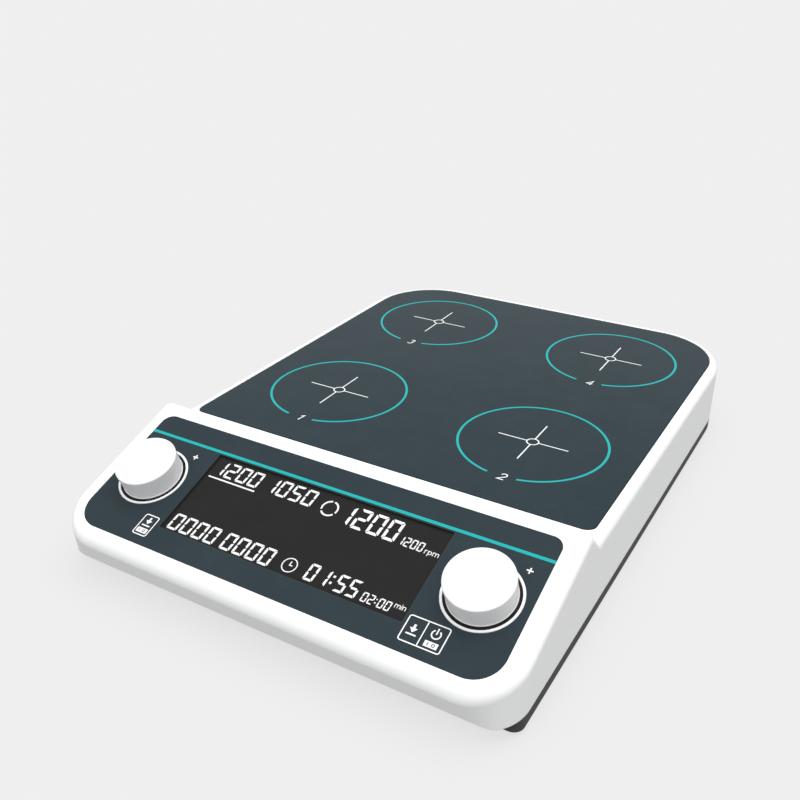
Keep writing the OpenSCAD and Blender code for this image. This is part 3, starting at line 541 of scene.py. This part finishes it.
def dress(made, material, body="case", stands_for=(), crease=30):
    """Gives a finished mesh its material and smooth shading, and hangs it on its body."""
    mesh = made.data
    mesh.materials.clear()
    mesh.materials.append(material)
    mesh.shade_smooth()
    mesh.set_sharp_from_angle(angle=math.radians(crease))
    weighted = made.modifiers.new("even shading", "WEIGHTED_NORMAL")
    weighted.keep_sharp = True
    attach(made, body)
    if stands_for:
        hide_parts(*stands_for)


# Housing

def panel_height(y):
    return PANEL_Z + (y - PANEL_Y) * math.tan(TILT)


def soft_max(a, b, blend=2.0):
    return (a + b + math.sqrt((a - b) ** 2 + blend ** 2)) / 2


def head_profile():
    """Side view from the front corner's end to the back corner's start, as (y, z), with the places in it
    of the crest's first point and the step foot's last one."""
    fall = math.radians(STEP_FALL)
    reach = CREST_R * math.tan((TILT + fall) / 2)
    cy = CREST_Y - reach * math.cos(TILT) + CREST_R * math.sin(TILT)
    cz = CREST_Z - reach * math.sin(TILT) - CREST_R * math.cos(TILT)
    crest = circle_arc(cy, cz, CREST_R, 90 + math.degrees(TILT), 90 - STEP_FALL, 10)
    foot_y = STEP_FOOT_Y + STEP_FOOT_R * math.tan(fall / 2)
    foot = circle_arc(foot_y, DECK_Z + STEP_FOOT_R, STEP_FOOT_R, 270 - STEP_FALL, 270, 5)
    front = (FRONT_Y + FRONT_R, panel_height(FRONT_Y + FRONT_R))
    back = (BACK_Y - BACK_R, DECK_Z)
    return [front, *crest, *foot, back], 1, len(crest) + len(foot)


def plan_stations(profile):
    """Points round the plan, anticlockwise from the middle of the front: centre, direction, radius, height
    of the top (None at the front corners, where it follows the panel), and how far they face the front."""
    stations = []

    def corner(cx, cy, r, start, steps, height):
        for k in range(steps + 1):
            a = math.radians(start + 90 * k / steps)
            front = max(-math.sin(a), 0.0) ** 2 if height is None else 0.0
            stations.append(((cx, cy), (math.cos(a), math.sin(a)), r, height, front))

    def side(sign, points):
        for y, z in points:
            stations.append(((sign * (HALF_W - FRONT_R), y), (sign, 0.0), FRONT_R, z, 0.0))

    corner(HALF_W - FRONT_R, FRONT_Y + FRONT_R, FRONT_R, -90, FRONT_STEPS, None)
    side(1, profile[1:-1])
    corner(HALF_W - BACK_R, BACK_Y - BACK_R, BACK_R, 0, BACK_STEPS, DECK_Z)
    corner(BACK_R - HALF_W, BACK_Y - BACK_R, BACK_R, 90, BACK_STEPS, DECK_Z)
    side(-1, profile[-2:0:-1])
    corner(FRONT_R - HALF_W, FRONT_Y + FRONT_R, FRONT_R, 180, FRONT_STEPS, None)
    return stations


def make_housing():
    profile, crest_at, foot_at = head_profile()
    stations = plan_stations(profile)

    def place(station, inset, lower=0.0, set_back=0.0):
        (cx, cy), (dx, dy), r, height, front = station
        x, y = cx + (r - inset) * dx, cy + (r - inset) * dy
        top = panel_height(y) if height is None else height
        return x, y + set_back * front, top - lower

    def wall_foot(station, inset, z):
        x, y, _ = place(station, inset)
        return x, soft_max(y, LOWER_FRONT_Y + inset), z

    foot_edge, lean_steps = 0.6, 4
    foot = round_edge(SHELL_Z, foot_edge, -1)[::-1]
    rings = [[wall_foot(station, inset, z) for station in stations] for inset, z in foot]
    for k in range(lean_steps, 0, -1):
        lean = TILT * k / lean_steps
        lower, set_back = EDGE_R * (1 + math.sin(lean)), EDGE_R * (1 - math.cos(lean))
        rings.append([place(station, 0.0, lower, set_back) for station in stations])
    brow = round_edge(0.0, EDGE_R, 1, 10)
    rings += [[place(station, inset, -rise) for station in stations] for inset, rise in brow]

    bm = bmesh.new()
    loops = skin(bm, rings, caps=False)
    bm.faces.new(loops[0][::-1])
    top = loops[-1]
    count = len(top)
    right = [FRONT_STEPS + k for k in range(len(profile))]
    left = [count - 1 - FRONT_STEPS - k for k in range(len(profile))]
    panel = [*range(left[crest_at], count), *range(right[crest_at] + 1)]
    bm.faces.new([top[i] for i in panel])
    for k in range(crest_at, foot_at):
        bm.faces.new([top[i] for i in (right[k], right[k + 1], left[k + 1], left[k])])
    bm.faces.new([top[i] for i in range(right[foot_at], left[foot_at] + 1)])
    housing = as_object("top_housing_shell", bm)
    carve(housing, housing_cutters())
    dress(housing, WHITE_MOULDING, stands_for=["top_housing"], crease=28)


def housing_space():
    """The hollow inside the housing, less the bosses and posts that stand in it."""
    lip_y, bulge_y, bulge_z, nose_y, crest_y = -143.9, -146.6, 17.8, -145.6, CREST_Y - 2.2
    front, back, low, plan_top = BASE_FRONT_Y + WALL, BACK_Y - WALL, SHELL_Z - 1, 60.0
    step_y = STEP_FOOT_Y + DECK_Z - LEDGE_Z - WALL * math.sqrt(2)
    side_view = [
        (front, low), (front, LIP_Z), (lip_y, LIP_Z), (bulge_y, bulge_z),
        (nose_y, panel_height(nose_y) - PANEL_UNDER), (crest_y, panel_height(crest_y) - PANEL_UNDER),
        (step_y, LEDGE_Z), (back, LEDGE_Z), (back, low)]
    bm = bmesh.new()
    skin(bm, [[(x, y, z) for y, z in side_view] for x in (-HALF_W, HALF_W)])
    space = as_object("inside", bm)

    def plan(inset):
        return rounded(HALF_W, FRONT_Y, BACK_Y, FRONT_R, BACK_R, inset)

    carve(space, [make_block("inside_plan", plan, [(WALL, 0.0), (WALL, plan_top)])], "INTERSECT")
    case_bosses, board_posts = bmesh.new(), bmesh.new()
    for x, y in CASE_SCREWS:
        screw_post(case_bosses, x, y, BOSS_R, BOSS_HOLE_R, BOSS_Z, DECK_Z)
    for x, s in BOARD_POSTS:
        screw_post(board_posts, x, s, BOARD_POST_R, POST_HOLE_R, -BOARD_DEPTH, 0.0)
    carve(space, [as_object("case_bosses", case_bosses), as_object("board_posts", board_posts, PANEL)])
    return space


def housing_cutters():
    """What the housing leaves open: its inside, the plate's seat, the overlay's recess and the holes."""
    lead, window_gap, inlet_r = 0.35, 0.1, INLET_R + 0.05
    seat = PLATE_GAP + lead
    knob_path = [(HOLE_R, -PAST), (HOLE_R, PAST)]
    return [
        housing_space(),
        make_block("plate_seat", plate_outline, [
            (-PLATE_GAP, SEAT_Z), (-PLATE_GAP, DECK_Z - lead), (-seat, DECK_Z), (-seat, DECK_Z + PAST)]),
        make_block("ledge_opening", plate_outline, [(LEDGE_W, LEDGE_Z - PAST), (LEDGE_W, DECK_Z)]),
        make_block("overlay_recess", overlay_outline, [
            (-OVERLAY_GAP, -OVERLAY_T), (-OVERLAY_GAP, PAST)], PANEL),
        make_block("window_opening", window_outline, [(-window_gap, -PAST), (-window_gap, PAST)], PANEL),
        *(make_drill("knob_hole", knob_path, sign * KNOB_X, KNOB_S, PANEL) for sign in (-1, 1)),
        make_drill("inlet_hole", [(inlet_r, -PAST), (inlet_r, PAST)], 0.0, 0.0, INLET_FRAME, 64),
    ]


def make_knob_rings():
    """The white collar round each knob hole, and the dark ring that fills the gap inside it: painted shade,
    standing in for the shadow down in that gap.
    """
    foot, edge, play = -OVERLAY_T, 0.12, 0.02
    collar = [
        (COLLAR_IN_R, foot), (COLLAR_IN_R, COLLAR_H - edge), (COLLAR_IN_R + edge, COLLAR_H),
        (COLLAR_R - edge, COLLAR_H), (COLLAR_R, COLLAR_H - edge), (COLLAR_R, foot)]
    # Dark ring in each knob's gap, given the black rubber finish: painted shade where the gap is only in
    # shadow
    shade_ring_r, shade_ring_low, shade_ring_top, shade_ring_edge = KNOB_FOOT_R + 0.2, -0.85, -0.25, 0.1
    shade_ring = [
        (shade_ring_r, shade_ring_low), (shade_ring_r, shade_ring_top - shade_ring_edge), (shade_ring_r + shade_ring_edge, shade_ring_top),
        (COLLAR_IN_R - play, shade_ring_top), (COLLAR_IN_R - play, foot + play), (HOLE_R - play, foot + play),
        (HOLE_R - play, shade_ring_low)]
    collars, shade_rings = bmesh.new(), bmesh.new()
    for sign in (-1, 1):
        ring_solid(collars, collar, sign * KNOB_X, KNOB_S)
        ring_solid(shade_rings, shade_ring, sign * KNOB_X, KNOB_S)
    dress(as_object("knob_collars", collars, PANEL), WHITE_MOULDING)
    dress(as_object("knob_gap_painted_shade_rings", shade_rings, PANEL), RUBBER)


# Base

def make_base():
    def outline(inset):
        return rounded(HALF_W, BASE_FRONT_Y, BACK_Y, BASE_FRONT_R, BACK_R, inset, 28)

    rim_out, rim_in, skirt, joint_z = 2.8, 4.4, 3.5, SHELL_Z - 0.02
    fillet_w, fillet_h, edge_r, bevel = 0.4, 0.3, 0.5, 0.25
    base = make_block("base_tray_shell", outline, [
        (skirt + fillet_w, BASE_Z), (skirt, BASE_Z - fillet_h), (skirt, BASE_SKIRT_Z),
        *round_edge(BASE_SKIRT_Z, edge_r, -1)[::-1], (0.0, SHELL_Z - bevel), (bevel, joint_z),
        (rim_out, joint_z), (rim_out, BASE_RIM_Z), (rim_in, BASE_RIM_Z), (rim_in, BASE_FLOOR_Z)])

    root_z = (BASE_Z + BASE_FLOOR_Z) / 2
    posts = bmesh.new()
    for places, r, hole_r, top in (
        (BRACKET_POSTS, POST_R, POST_HOLE_R, BRACKET_Z),
        (MAIN_POSTS, POST_R, POST_HOLE_R, MAIN_Z),
        (CASE_SCREWS, BOSS_R, BOSS_HOLE_R, BOSS_Z),
    ):
        for x, y in places:
            screw_post(posts, x, y, r, hole_r, root_z, top)
    carve(base, [as_object("posts", posts)], "UNION")

    mouth_r, mouth_z, well_r, lead, depth = 3.1, -5.0, 2.8, 0.3, 2.05
    well = [(mouth_r, mouth_z), (well_r, BASE_Z + lead), (well_r, BASE_Z + depth)]
    carve(base, [make_drill("screw_well", well, x, y, steps=48) for x, y in CASE_SCREWS])
    dress(base, BASE_GREY, stands_for=["base_tray"])


def make_feet():
    hollow, hollow_h, tread, edge, soft, soft_h = 1.5, 0.35, 1.2, 0.5, 0.12, 0.15
    profile = [
        (FOOT_R - hollow, hollow_h), (FOOT_R - tread, 0.0), (FOOT_R - edge, 0.0), (FOOT_R - soft, soft_h),
        (FOOT_R, edge), (FOOT_R, BASE_Z)]
    bm = bmesh.new()
    for x, y in FEET:
        turned(bm, profile, x, y, 64)
    dress(as_object("rubber_foot_pads", bm), RUBBER, stands_for=["rubber_feet"])


# Plate and its printing

def make_plate():
    under_edge, top_edge = 0.3, 0.4
    plate = make_block("ceramic_plate", lambda inset: plate_outline(inset, 28), [
        *round_edge(DECK_Z - PLATE_T, under_edge, -1, 3)[::-1], *round_edge(DECK_Z, top_edge, 1, 4)])
    dress(plate, PLATE_CERAMIC, stands_for=["stirring_plate"])


def stroke(bm, points, width, low, high):
    """A drawn line of some width through points, with mitred corners."""
    sharpest = 0.4
    left, right = [], []
    for i, (x, y) in enumerate(points):
        before = Vector(points[i]) - Vector(points[i - 1]) if i else None
        after = Vector(points[i + 1]) - Vector(points[i]) if i + 1 < len(points) else None
        one, two = (before or after).normalized(), (after or before).normalized()
        along = (one + two).normalized()
        reach = width / 2 / max(along.dot(two), sharpest)
        left.append((x - along.y * reach, y + along.x * reach))
        right.append((x + along.y * reach, y - along.x * reach))
    sheet(bm, right + left[::-1], [], low, high)


# Printed numbers and letters: width and pen strokes, and the gap after each, in units of a number's height
LETTER_GAP = 0.24
STROKES = {
    "1": (0.5, [[(0.12, 0.78), (0.36, 1.0), (0.36, 0.0)]]),
    "2": (0.64, [[*circle_arc(0.31, 0.71, 0.29, 165, -35, 14), (0.02, 0.0), (0.64, 0.0)]]),
    "3": (0.6, [circle_arc(0.3, 0.75, 0.25, 150, -75, 12), circle_arc(0.29, 0.27, 0.28, 90, -150, 14)]),
    "4": (0.66, [[(0.47, 0.0), (0.47, 1.0), (0.02, 0.3), (0.42, 0.3)], [(0.53, 0.3), (0.66, 0.3)]]),
    "r": (0.34, [[(0.0, 0.0), (0.0, 0.7)], circle_arc(0.3, 0.38, 0.26, 160, 80, 6)]),
    "p": (0.56, [[(0.0, -0.28), (0.0, 0.7)], circle_arc(0.28, 0.35, 0.27, 155, -155, 20)]),
    "m": (0.92, [[(0.0, 0.0), (0.0, 0.7)], [*circle_arc(0.25, 0.43, 0.21, 155, 0, 8), (0.46, 0.0)],
                 [*circle_arc(0.71, 0.43, 0.21, 155, 0, 8), (0.92, 0.0)]]),
    "i": (0.0, [[(0.0, 0.0), (0.0, 0.7)], [(0.0, 0.84), (0.0, 0.97)]]),
    "n": (0.48, [[(0.0, 0.0), (0.0, 0.7)], [*circle_arc(0.26, 0.43, 0.22, 155, 0, 8), (0.48, 0.0)]]),
}


def write(bm, words, x, y, tall, lean, pen, low, high):
    """Plain numbers or letters in pen strokes, from their lower left corner."""
    for letter in words:
        width, lines = STROKES[letter]
        for points in lines:
            stroke(bm, [(x + (px + py * lean) * tall, y + py * tall) for px, py in points], pen, low, high)
        x += (width + LETTER_GAP) * tall


def make_plate_printing():
    ring_r, ring_w, gap = 33.9, 1.15, 11.5
    arm, hub, line = 17.0, 3.0, 0.55
    tall, lean, pen, number_left = 4.7, 0.15, 0.55, 0.9
    low, high = DECK_Z - INK_SINK, DECK_Z + INK
    rings, marks = bmesh.new(), bmesh.new()
    for number, (x, y) in enumerate(STIR, 1):
        arc_band(rings, x, y, ring_r, ring_w, -90 + gap, 270 - gap, low, high, steps=140)
        for sign in (-1, 1):
            bar(marks, x + sign * hub, y - line / 2, x + sign * arm, y + line / 2, low, high)
            bar(marks, x - line / 2, y + sign * hub, x + line / 2, y + sign * arm, low, high)
        sheet(marks, full_circle(x, y, hub, 32), [full_circle(x, y, hub - line, 32)], low, high)
        write(marks, str(number), x - number_left, y - ring_r - tall / 2, tall, lean, pen, low, high)
    dress(as_object("plate_rings", rings), TEAL_INK)
    dress(as_object("plate_marks", marks), WHITE_INK)


# Overlay, display and printing on the panel

def make_overlay():
    collar_gap = 0.15
    knob_holes = [full_circle(sign * KNOB_X, KNOB_S, COLLAR_R + collar_gap) for sign in (-1, 1)]
    bm = bmesh.new()
    sheet(bm, overlay_outline(), [window_outline(), *knob_holes], -OVERLAY_T, 0.0)
    dress(as_object("printed_overlay", bm, PANEL), OVERLAY_FILM, stands_for=["control_overlay"])


def make_lens():
    flange_low, flange_high = -PANEL_T - WINDOW_T, -PANEL_T
    play, edge = 0.04, 0.15
    lens = make_block("display_lens", window_outline, [
        (-WINDOW_FLANGE, flange_low), (-WINDOW_FLANGE, flange_high), (play, flange_high),
        *round_edge(-WINDOW_SINK, edge, 1, 3)[1:]], PANEL)
    dress(lens, LENS_BLACK, stands_for=["display_window"])


def make_lens_lining():
    """A thin black edge all round the display opening: painted shade, standing in for the shadow in the
    window's recess.
    """
    reach_in, reach_out, low, high = 0.16, 0.02, -WINDOW_SINK - 0.05, -0.03
    bm = bmesh.new()
    sheet(bm, window_outline(-reach_out), [window_outline(reach_in)], low, high)
    dress(as_object("display_painted_shade_edge", bm, PANEL), BLACK_MOULDING)


# Bars of the digits that the display shows, by letter
SEGMENTS = {"0": "abcdef", "1": "bc", "2": "abged", "5": "afgcd"}

# What the display shows, in the panel's frame. A reading has its digits, left, right, front and back
READINGS = [
    ("1200", -55.6, -31.2, 42.85, 50.85), ("1050", -28.1, -3.7, 42.85, 50.95),
    ("1200", 9.4, 37.2, 40.2, 50.2), ("1200", 37.75, 49.0, 40.2, 44.5),
    ("0000", -55.2, -30.9, 11.85, 19.9), ("0000", -27.7, -3.4, 11.85, 19.95),
    ("01:55", 12.4, 35.8, 12.6, 20.3), ("02:00", 37.8, 50.1, 12.8, 16.9),
]
# Line under the first reading: left, front, right and back
READING_LINE = (-55.4, 40.9, -30.9, 41.6)
# A unit has its letters, left, front, height, lean and pen
UNITS = [("rpm", 50.1, 40.2, 2.5, 0.0, 0.32), ("min", 51.2, 15.3, 2.3, 0.0, 0.28)]
# Turning sign: middle, radius, pen, and the start and length of its three arcs in degrees
TURN_X, TURN_S, TURN_R, TURN_PEN, TURN_STARTS, TURN_ARC = 4.4, 45.3, 3.5, 0.75, (98, 218, 338), 104
# Clock: middle, radius, pen and hands
CLOCK_X, CLOCK_S, CLOCK_R, CLOCK_PEN, CLOCK_LONG, CLOCK_SHORT = 4.55, 15.95, 3.1, 0.45, 1.8, 1.3


def digit_bars(wide, tall, thick, gap):
    """The seven bars of a digit as outlines, by letter: mitred together, with the outer corners cut."""
    mid, half, cut, half_cut = tall / 2, thick / 2, thick * 0.4, thick * 0.2
    top = [
        (thick + gap, tall - thick), (wide - thick - gap, tall - thick),
        (wide - half_cut - gap, tall - half_cut), (wide - cut - gap, tall),
        (cut + gap, tall), (half_cut + gap, tall - half_cut)]
    left = [
        (0, mid + gap), (half, mid + gap), (thick, mid + half + gap), (thick, tall - thick - gap),
        (half_cut, tall - half_cut - gap), (0, tall - cut - gap)]
    middle = [
        (half + gap, mid), (thick + gap, mid - half), (wide - thick - gap, mid - half),
        (wide - half - gap, mid), (wide - thick - gap, mid + half), (thick + gap, mid + half)]

    def across(points):
        return [(wide - x, y) for x, y in points][::-1]

    def down(points):
        return [(x, tall - y) for x, y in points][::-1]

    return {"a": top, "d": down(top), "g": middle, "f": left, "b": across(left),
            "e": down(left), "c": down(across(left))}


def add_reading(bm, words, x0, x1, y0, y1, low, high):
    """A slanted reading of seven-bar digits and a colon, fitted between x0 and x1."""
    slant, colon_share, space = math.tan(math.radians(3)), 0.475, 0.2
    bar_share, gap_share, dots = 0.125, 0.18, (0.28, 0.66)
    tall = y1 - y0
    cells = sum(colon_share if letter == ":" else 1.0 for letter in words)
    pitch = (x1 - x0 - tall * slant) / (cells - space)
    thick = tall * bar_share
    bars = digit_bars(pitch * (1 - space), tall, thick, thick * gap_share)
    dot_feet = [tall * share for share in dots]
    colon = [[(0, y), (thick, y), (thick, y + thick), (0, y + thick)] for y in dot_feet]
    x = x0
    for letter in words:
        for outline in colon if letter == ":" else [bars[name] for name in SEGMENTS[letter]]:
            sheet(bm, [(x + px + py * slant, y0 + py) for px, py in outline], [], low, high)
        x += pitch * (colon_share if letter == ":" else 1.0)


def make_readings():
    low, high = -WINDOW_SINK - INK_SINK, -WINDOW_SINK + INK
    bm = bmesh.new()
    for reading in READINGS:
        add_reading(bm, *reading, low, high)
    bar(bm, *READING_LINE, low, high)
    for start in TURN_STARTS:
        arc_band(bm, TURN_X, TURN_S, TURN_R, TURN_PEN, start, start + TURN_ARC, low, high, steps=14)
    rim = [full_circle(CLOCK_X, CLOCK_S, CLOCK_R + side * CLOCK_PEN / 2, 48) for side in (1, -1)]
    sheet(bm, rim[0], rim[1:], low, high)
    hands = [(CLOCK_X, CLOCK_S + CLOCK_LONG), (CLOCK_X, CLOCK_S), (CLOCK_X + CLOCK_SHORT, CLOCK_S)]
    stroke(bm, hands, CLOCK_PEN, low, high)
    for unit in UNITS:
        write(bm, *unit, low, high)
    dress(as_object("display_readings", bm, PANEL), SEGMENT_WHITE)


# Printing on the overlay: left, front, right and back of the stripe, the frames and the divider
STRIPE = (-OVERLAY_X, 53.2, OVERLAY_X, 54.6)
FRAMES = [(-66.9, 3.9, -59.5, 14.2), (58.6, 4.1, 75.2, 14.9)]
FRAME_R, FRAME_PEN = 1.1, 0.45
DIVIDER = (66.1, 4.7, 66.5, 14.3)
# Places of the symbols, and the sizes of the power symbol and of the minus and plus signs behind the knobs
PUSH_SYMBOLS = [(-63.2, 10.2), (62.4, 9.0)]
SWITCH_SYMBOLS = [(-63.2, 6.3), (70.85, 6.6)]
POWER_X, POWER_S, POWER_R, POWER_PEN, POWER_TOP, POWER_ARC = 70.85, 10.9, 1.7, 0.5, 13.4, (125, 415)
SIGN_S, SIGN_OUT, SIGN_ARM, SIGN_PEN = 47.2, 11.5, 1.3, 0.55


def frame_line(bm, x0, y0, x1, y1, r, width, low, high):
    """A thin rounded frame."""
    def outline(inset):
        points = rounded((x1 - x0) / 2, y0, y1, r, r, inset, 6)
        return [(x + (x0 + x1) / 2, y) for x, y in points]

    sheet(bm, outline(0.0), [outline(width)], low, high)


def add_push_symbol(bm, x, y, low, high):
    """An arrow that presses on a line."""
    tip, neck, tail, head_half, stem_half = y - 0.6, y + 1.2, y + 2.7, 1.5, 0.45
    line_low, line_high, line_half = y - 1.7, y - 1.1, 2.0
    sheet(bm, [(x - head_half, neck), (x, tip), (x + head_half, neck)], [], low, high)
    bar(bm, x - stem_half, neck, x + stem_half, tail, low, high)
    bar(bm, x - line_half, line_low, x + line_half, line_high, low, high)


def add_switch_symbol(plates, ticks, x, y, low, high):
    """A small printed plate with a dark tick and ring on it, for on and off."""
    plate_x, plate_y, tick_y, ring_x, ring_r, hole_r = 2.6, 1.15, 0.65, 0.9, 0.68, 0.36
    tick_left, tick_right = -1.4, -1.05
    over, top = high - INK_SINK, high + INK
    bar(plates, x - plate_x, y - plate_y, x + plate_x, y + plate_y, low, high)
    bar(ticks, x + tick_left, y - tick_y, x + tick_right, y + tick_y, over, top)
    sheet(ticks, full_circle(x + ring_x, y, ring_r, 24), [full_circle(x + ring_x, y, hole_r, 24)], over, top)


def add_sign(bm, x, y, plus, low, high):
    """A minus sign, or a plus sign of three bars."""
    half = SIGN_PEN / 2
    bar(bm, x - SIGN_ARM, y - half, x + SIGN_ARM, y + half, low, high)
    if plus:
        bar(bm, x - half, y + half, x + half, y + SIGN_ARM, low, high)
        bar(bm, x - half, y - SIGN_ARM, x + half, y - half, low, high)


def make_panel_printing():
    low, high = -INK_SINK, INK
    stripe, marks, ticks = bmesh.new(), bmesh.new(), bmesh.new()
    bar(stripe, *STRIPE, low, high)
    dress(as_object("panel_stripe", stripe, PANEL), TEAL_INK)

    for corners in FRAMES:
        frame_line(marks, *corners, FRAME_R, FRAME_PEN, low, high)
    bar(marks, *DIVIDER, low, high)
    for x, y in PUSH_SYMBOLS:
        add_push_symbol(marks, x, y, low, high)
    arc_band(marks, POWER_X, POWER_S, POWER_R, POWER_PEN, *POWER_ARC, low, high, steps=32)
    bar(marks, POWER_X - POWER_PEN / 2, POWER_S, POWER_X + POWER_PEN / 2, POWER_TOP, low, high)
    for x, y in SWITCH_SYMBOLS:
        add_switch_symbol(marks, ticks, x, y, low, high)
    dress(as_object("switch_ticks", ticks, PANEL), DARK_INK)
    for sign in (-1, 1):
        add_sign(marks, sign * KNOB_X - SIGN_OUT, SIGN_S, False, low, high)
        add_sign(marks, sign * KNOB_X + SIGN_OUT, SIGN_S, True, low, high)
    dress(as_object("panel_marks", marks, PANEL), WHITE_INK)


# Knobs

def make_knob(side, sign):
    ceiling, inner = KNOB_H - KNOB_WALL, KNOB_R - KNOB_WALL
    chamfer, lip_h = 0.15, 0.3
    lip_r, lip_top = KNOB_LOW_R + KNOB_LIP, KNOB_SKIRT_H + lip_h
    path = [(SHAFT_R, ceiling), (SHAFT_R, -KNOB_SINK), (HUB_R, -KNOB_SINK), (HUB_R, ceiling),
            (inner, ceiling), (inner, -KNOB_SINK), (KNOB_FOOT_R, -KNOB_SINK), (KNOB_FOOT_R, KNOB_SKIRT_H),
            (lip_r - chamfer, KNOB_SKIRT_H), (lip_r, KNOB_SKIRT_H + chamfer), (lip_r, lip_top),
            (KNOB_LOW_R, lip_top + KNOB_LIP)]
    path += [(KNOB_R - inset, z) for inset, z in round_edge(KNOB_H, KNOB_EDGE_R, 1, 8)]
    bm = bmesh.new()
    turned(bm, path, steps=128)
    knob = as_object(f"{side}_knob_cap", bm, PANEL @ Matrix.Translation((sign * KNOB_X, KNOB_S, 0)))
    dress(knob, KNOB_SHADED_WHITE, f"{side}_turn", [f"{side}_knob"])


# Power inlet

def make_inlet():
    """A round socket with a pin in its bore."""
    face, edge = -INLET_SINK, 0.25
    tail, tail_edge = -WALL - INLET_TAIL, 0.3
    bottom = face - INLET_DEPTH
    shell = [
        (INLET_R - tail_edge, tail), (INLET_R, tail + tail_edge), (INLET_R, face - edge),
        (INLET_R - edge, face), (INLET_BORE_R + edge, face), (INLET_BORE_R, face - edge),
        (INLET_BORE_R, bottom)]
    # Rounded end of the pin: share of its radius, and depth below the face
    pin_end = [(1.0, 0.9), (0.75, 0.5), (0.4, 0.4)]
    pin = [(INLET_PIN_R, bottom), *((INLET_PIN_R * share, face - depth) for share, depth in pin_end)]
    bm = bmesh.new()
    turned(bm, shell + pin, steps=64)
    inlet = as_object("power_inlet_socket", bm, INLET_FRAME)
    dress(inlet, BLACK_MOULDING, stands_for=["power_inlet"])


# Studio

def split_by_camera(tree, shown, thrown, output):
    """Shows one shader to the camera, and lets another light the object."""
    ray = add(tree, "ShaderNodeLightPath")
    either = add(tree, "ShaderNodeMixShader", {0: ray.outputs["Is Camera Ray"], 1: thrown, 2: shown})
    tree.links.new(either.outputs["Shader"], tree.nodes[output].inputs["Surface"])


def make_floor_material():
    """A pale lit sweep, which throws less light back on the object than it shows."""
    material = bpy.data.materials.new("pale lit floor")
    material.use_nodes = True
    tree = material.node_tree
    shown = tree.nodes["Principled BSDF"]
    for key, value in {
        "Base Color": (FLOOR_GREY, FLOOR_GREY, FLOOR_GREY, 1.0), "Roughness": 0.7, "Specular IOR Level": 0.0,
        "Emission Color": WHITE, "Emission Strength": FLOOR_SHOWN,
    }.items():
        shown.inputs[key].default_value = value
    thrown = add(tree, "ShaderNodeEmission", {"Color": WHITE, "Strength": FLOOR_THROWN})
    split_by_camera(tree, shown.outputs["BSDF"], thrown.outputs["Emission"], "Material Output")
    return material


def make_background():
    world = bpy.data.worlds.new("studio")
    world.use_nodes = True
    tree = world.node_tree
    thrown = tree.nodes["Background"]
    thrown.inputs["Color"].default_value = WHITE
    thrown.inputs["Strength"].default_value = SKY_THROWN
    shown = add(tree, "ShaderNodeBackground", {"Color": WHITE, "Strength": SKY_SHOWN})
    split_by_camera(tree, shown.outputs["Background"], thrown.outputs["Background"], "World Output")
    scene.world = world


def make_studio():
    floor_size = 12000.0
    bm = bmesh.new()
    bmesh.ops.create_grid(bm, x_segments=8, y_segments=8, size=floor_size)
    floor = as_object("studio_floor", bm)
    floor.data.materials.append(make_floor_material())
    make_background()
    for name, strength, width, tip, turn in LIGHTS:
        lamp = bpy.data.lights.new(name, "SUN")
        lamp.energy, lamp.angle = strength, math.radians(width)
        light = bpy.data.objects.new(name, lamp)
        light.rotation_euler = (0.0, math.radians(tip), math.radians(turn))
        scene.collection.objects.link(light)


place_camera()
make_housing()
make_knob_rings()
make_base()
make_feet()
make_plate()
make_plate_printing()
make_overlay()
make_lens()
make_lens_lining()
make_readings()
make_panel_printing()
make_knob("left", -1)
make_knob("right", 1)
make_inlet()
finish_cad_nodes()
make_studio()
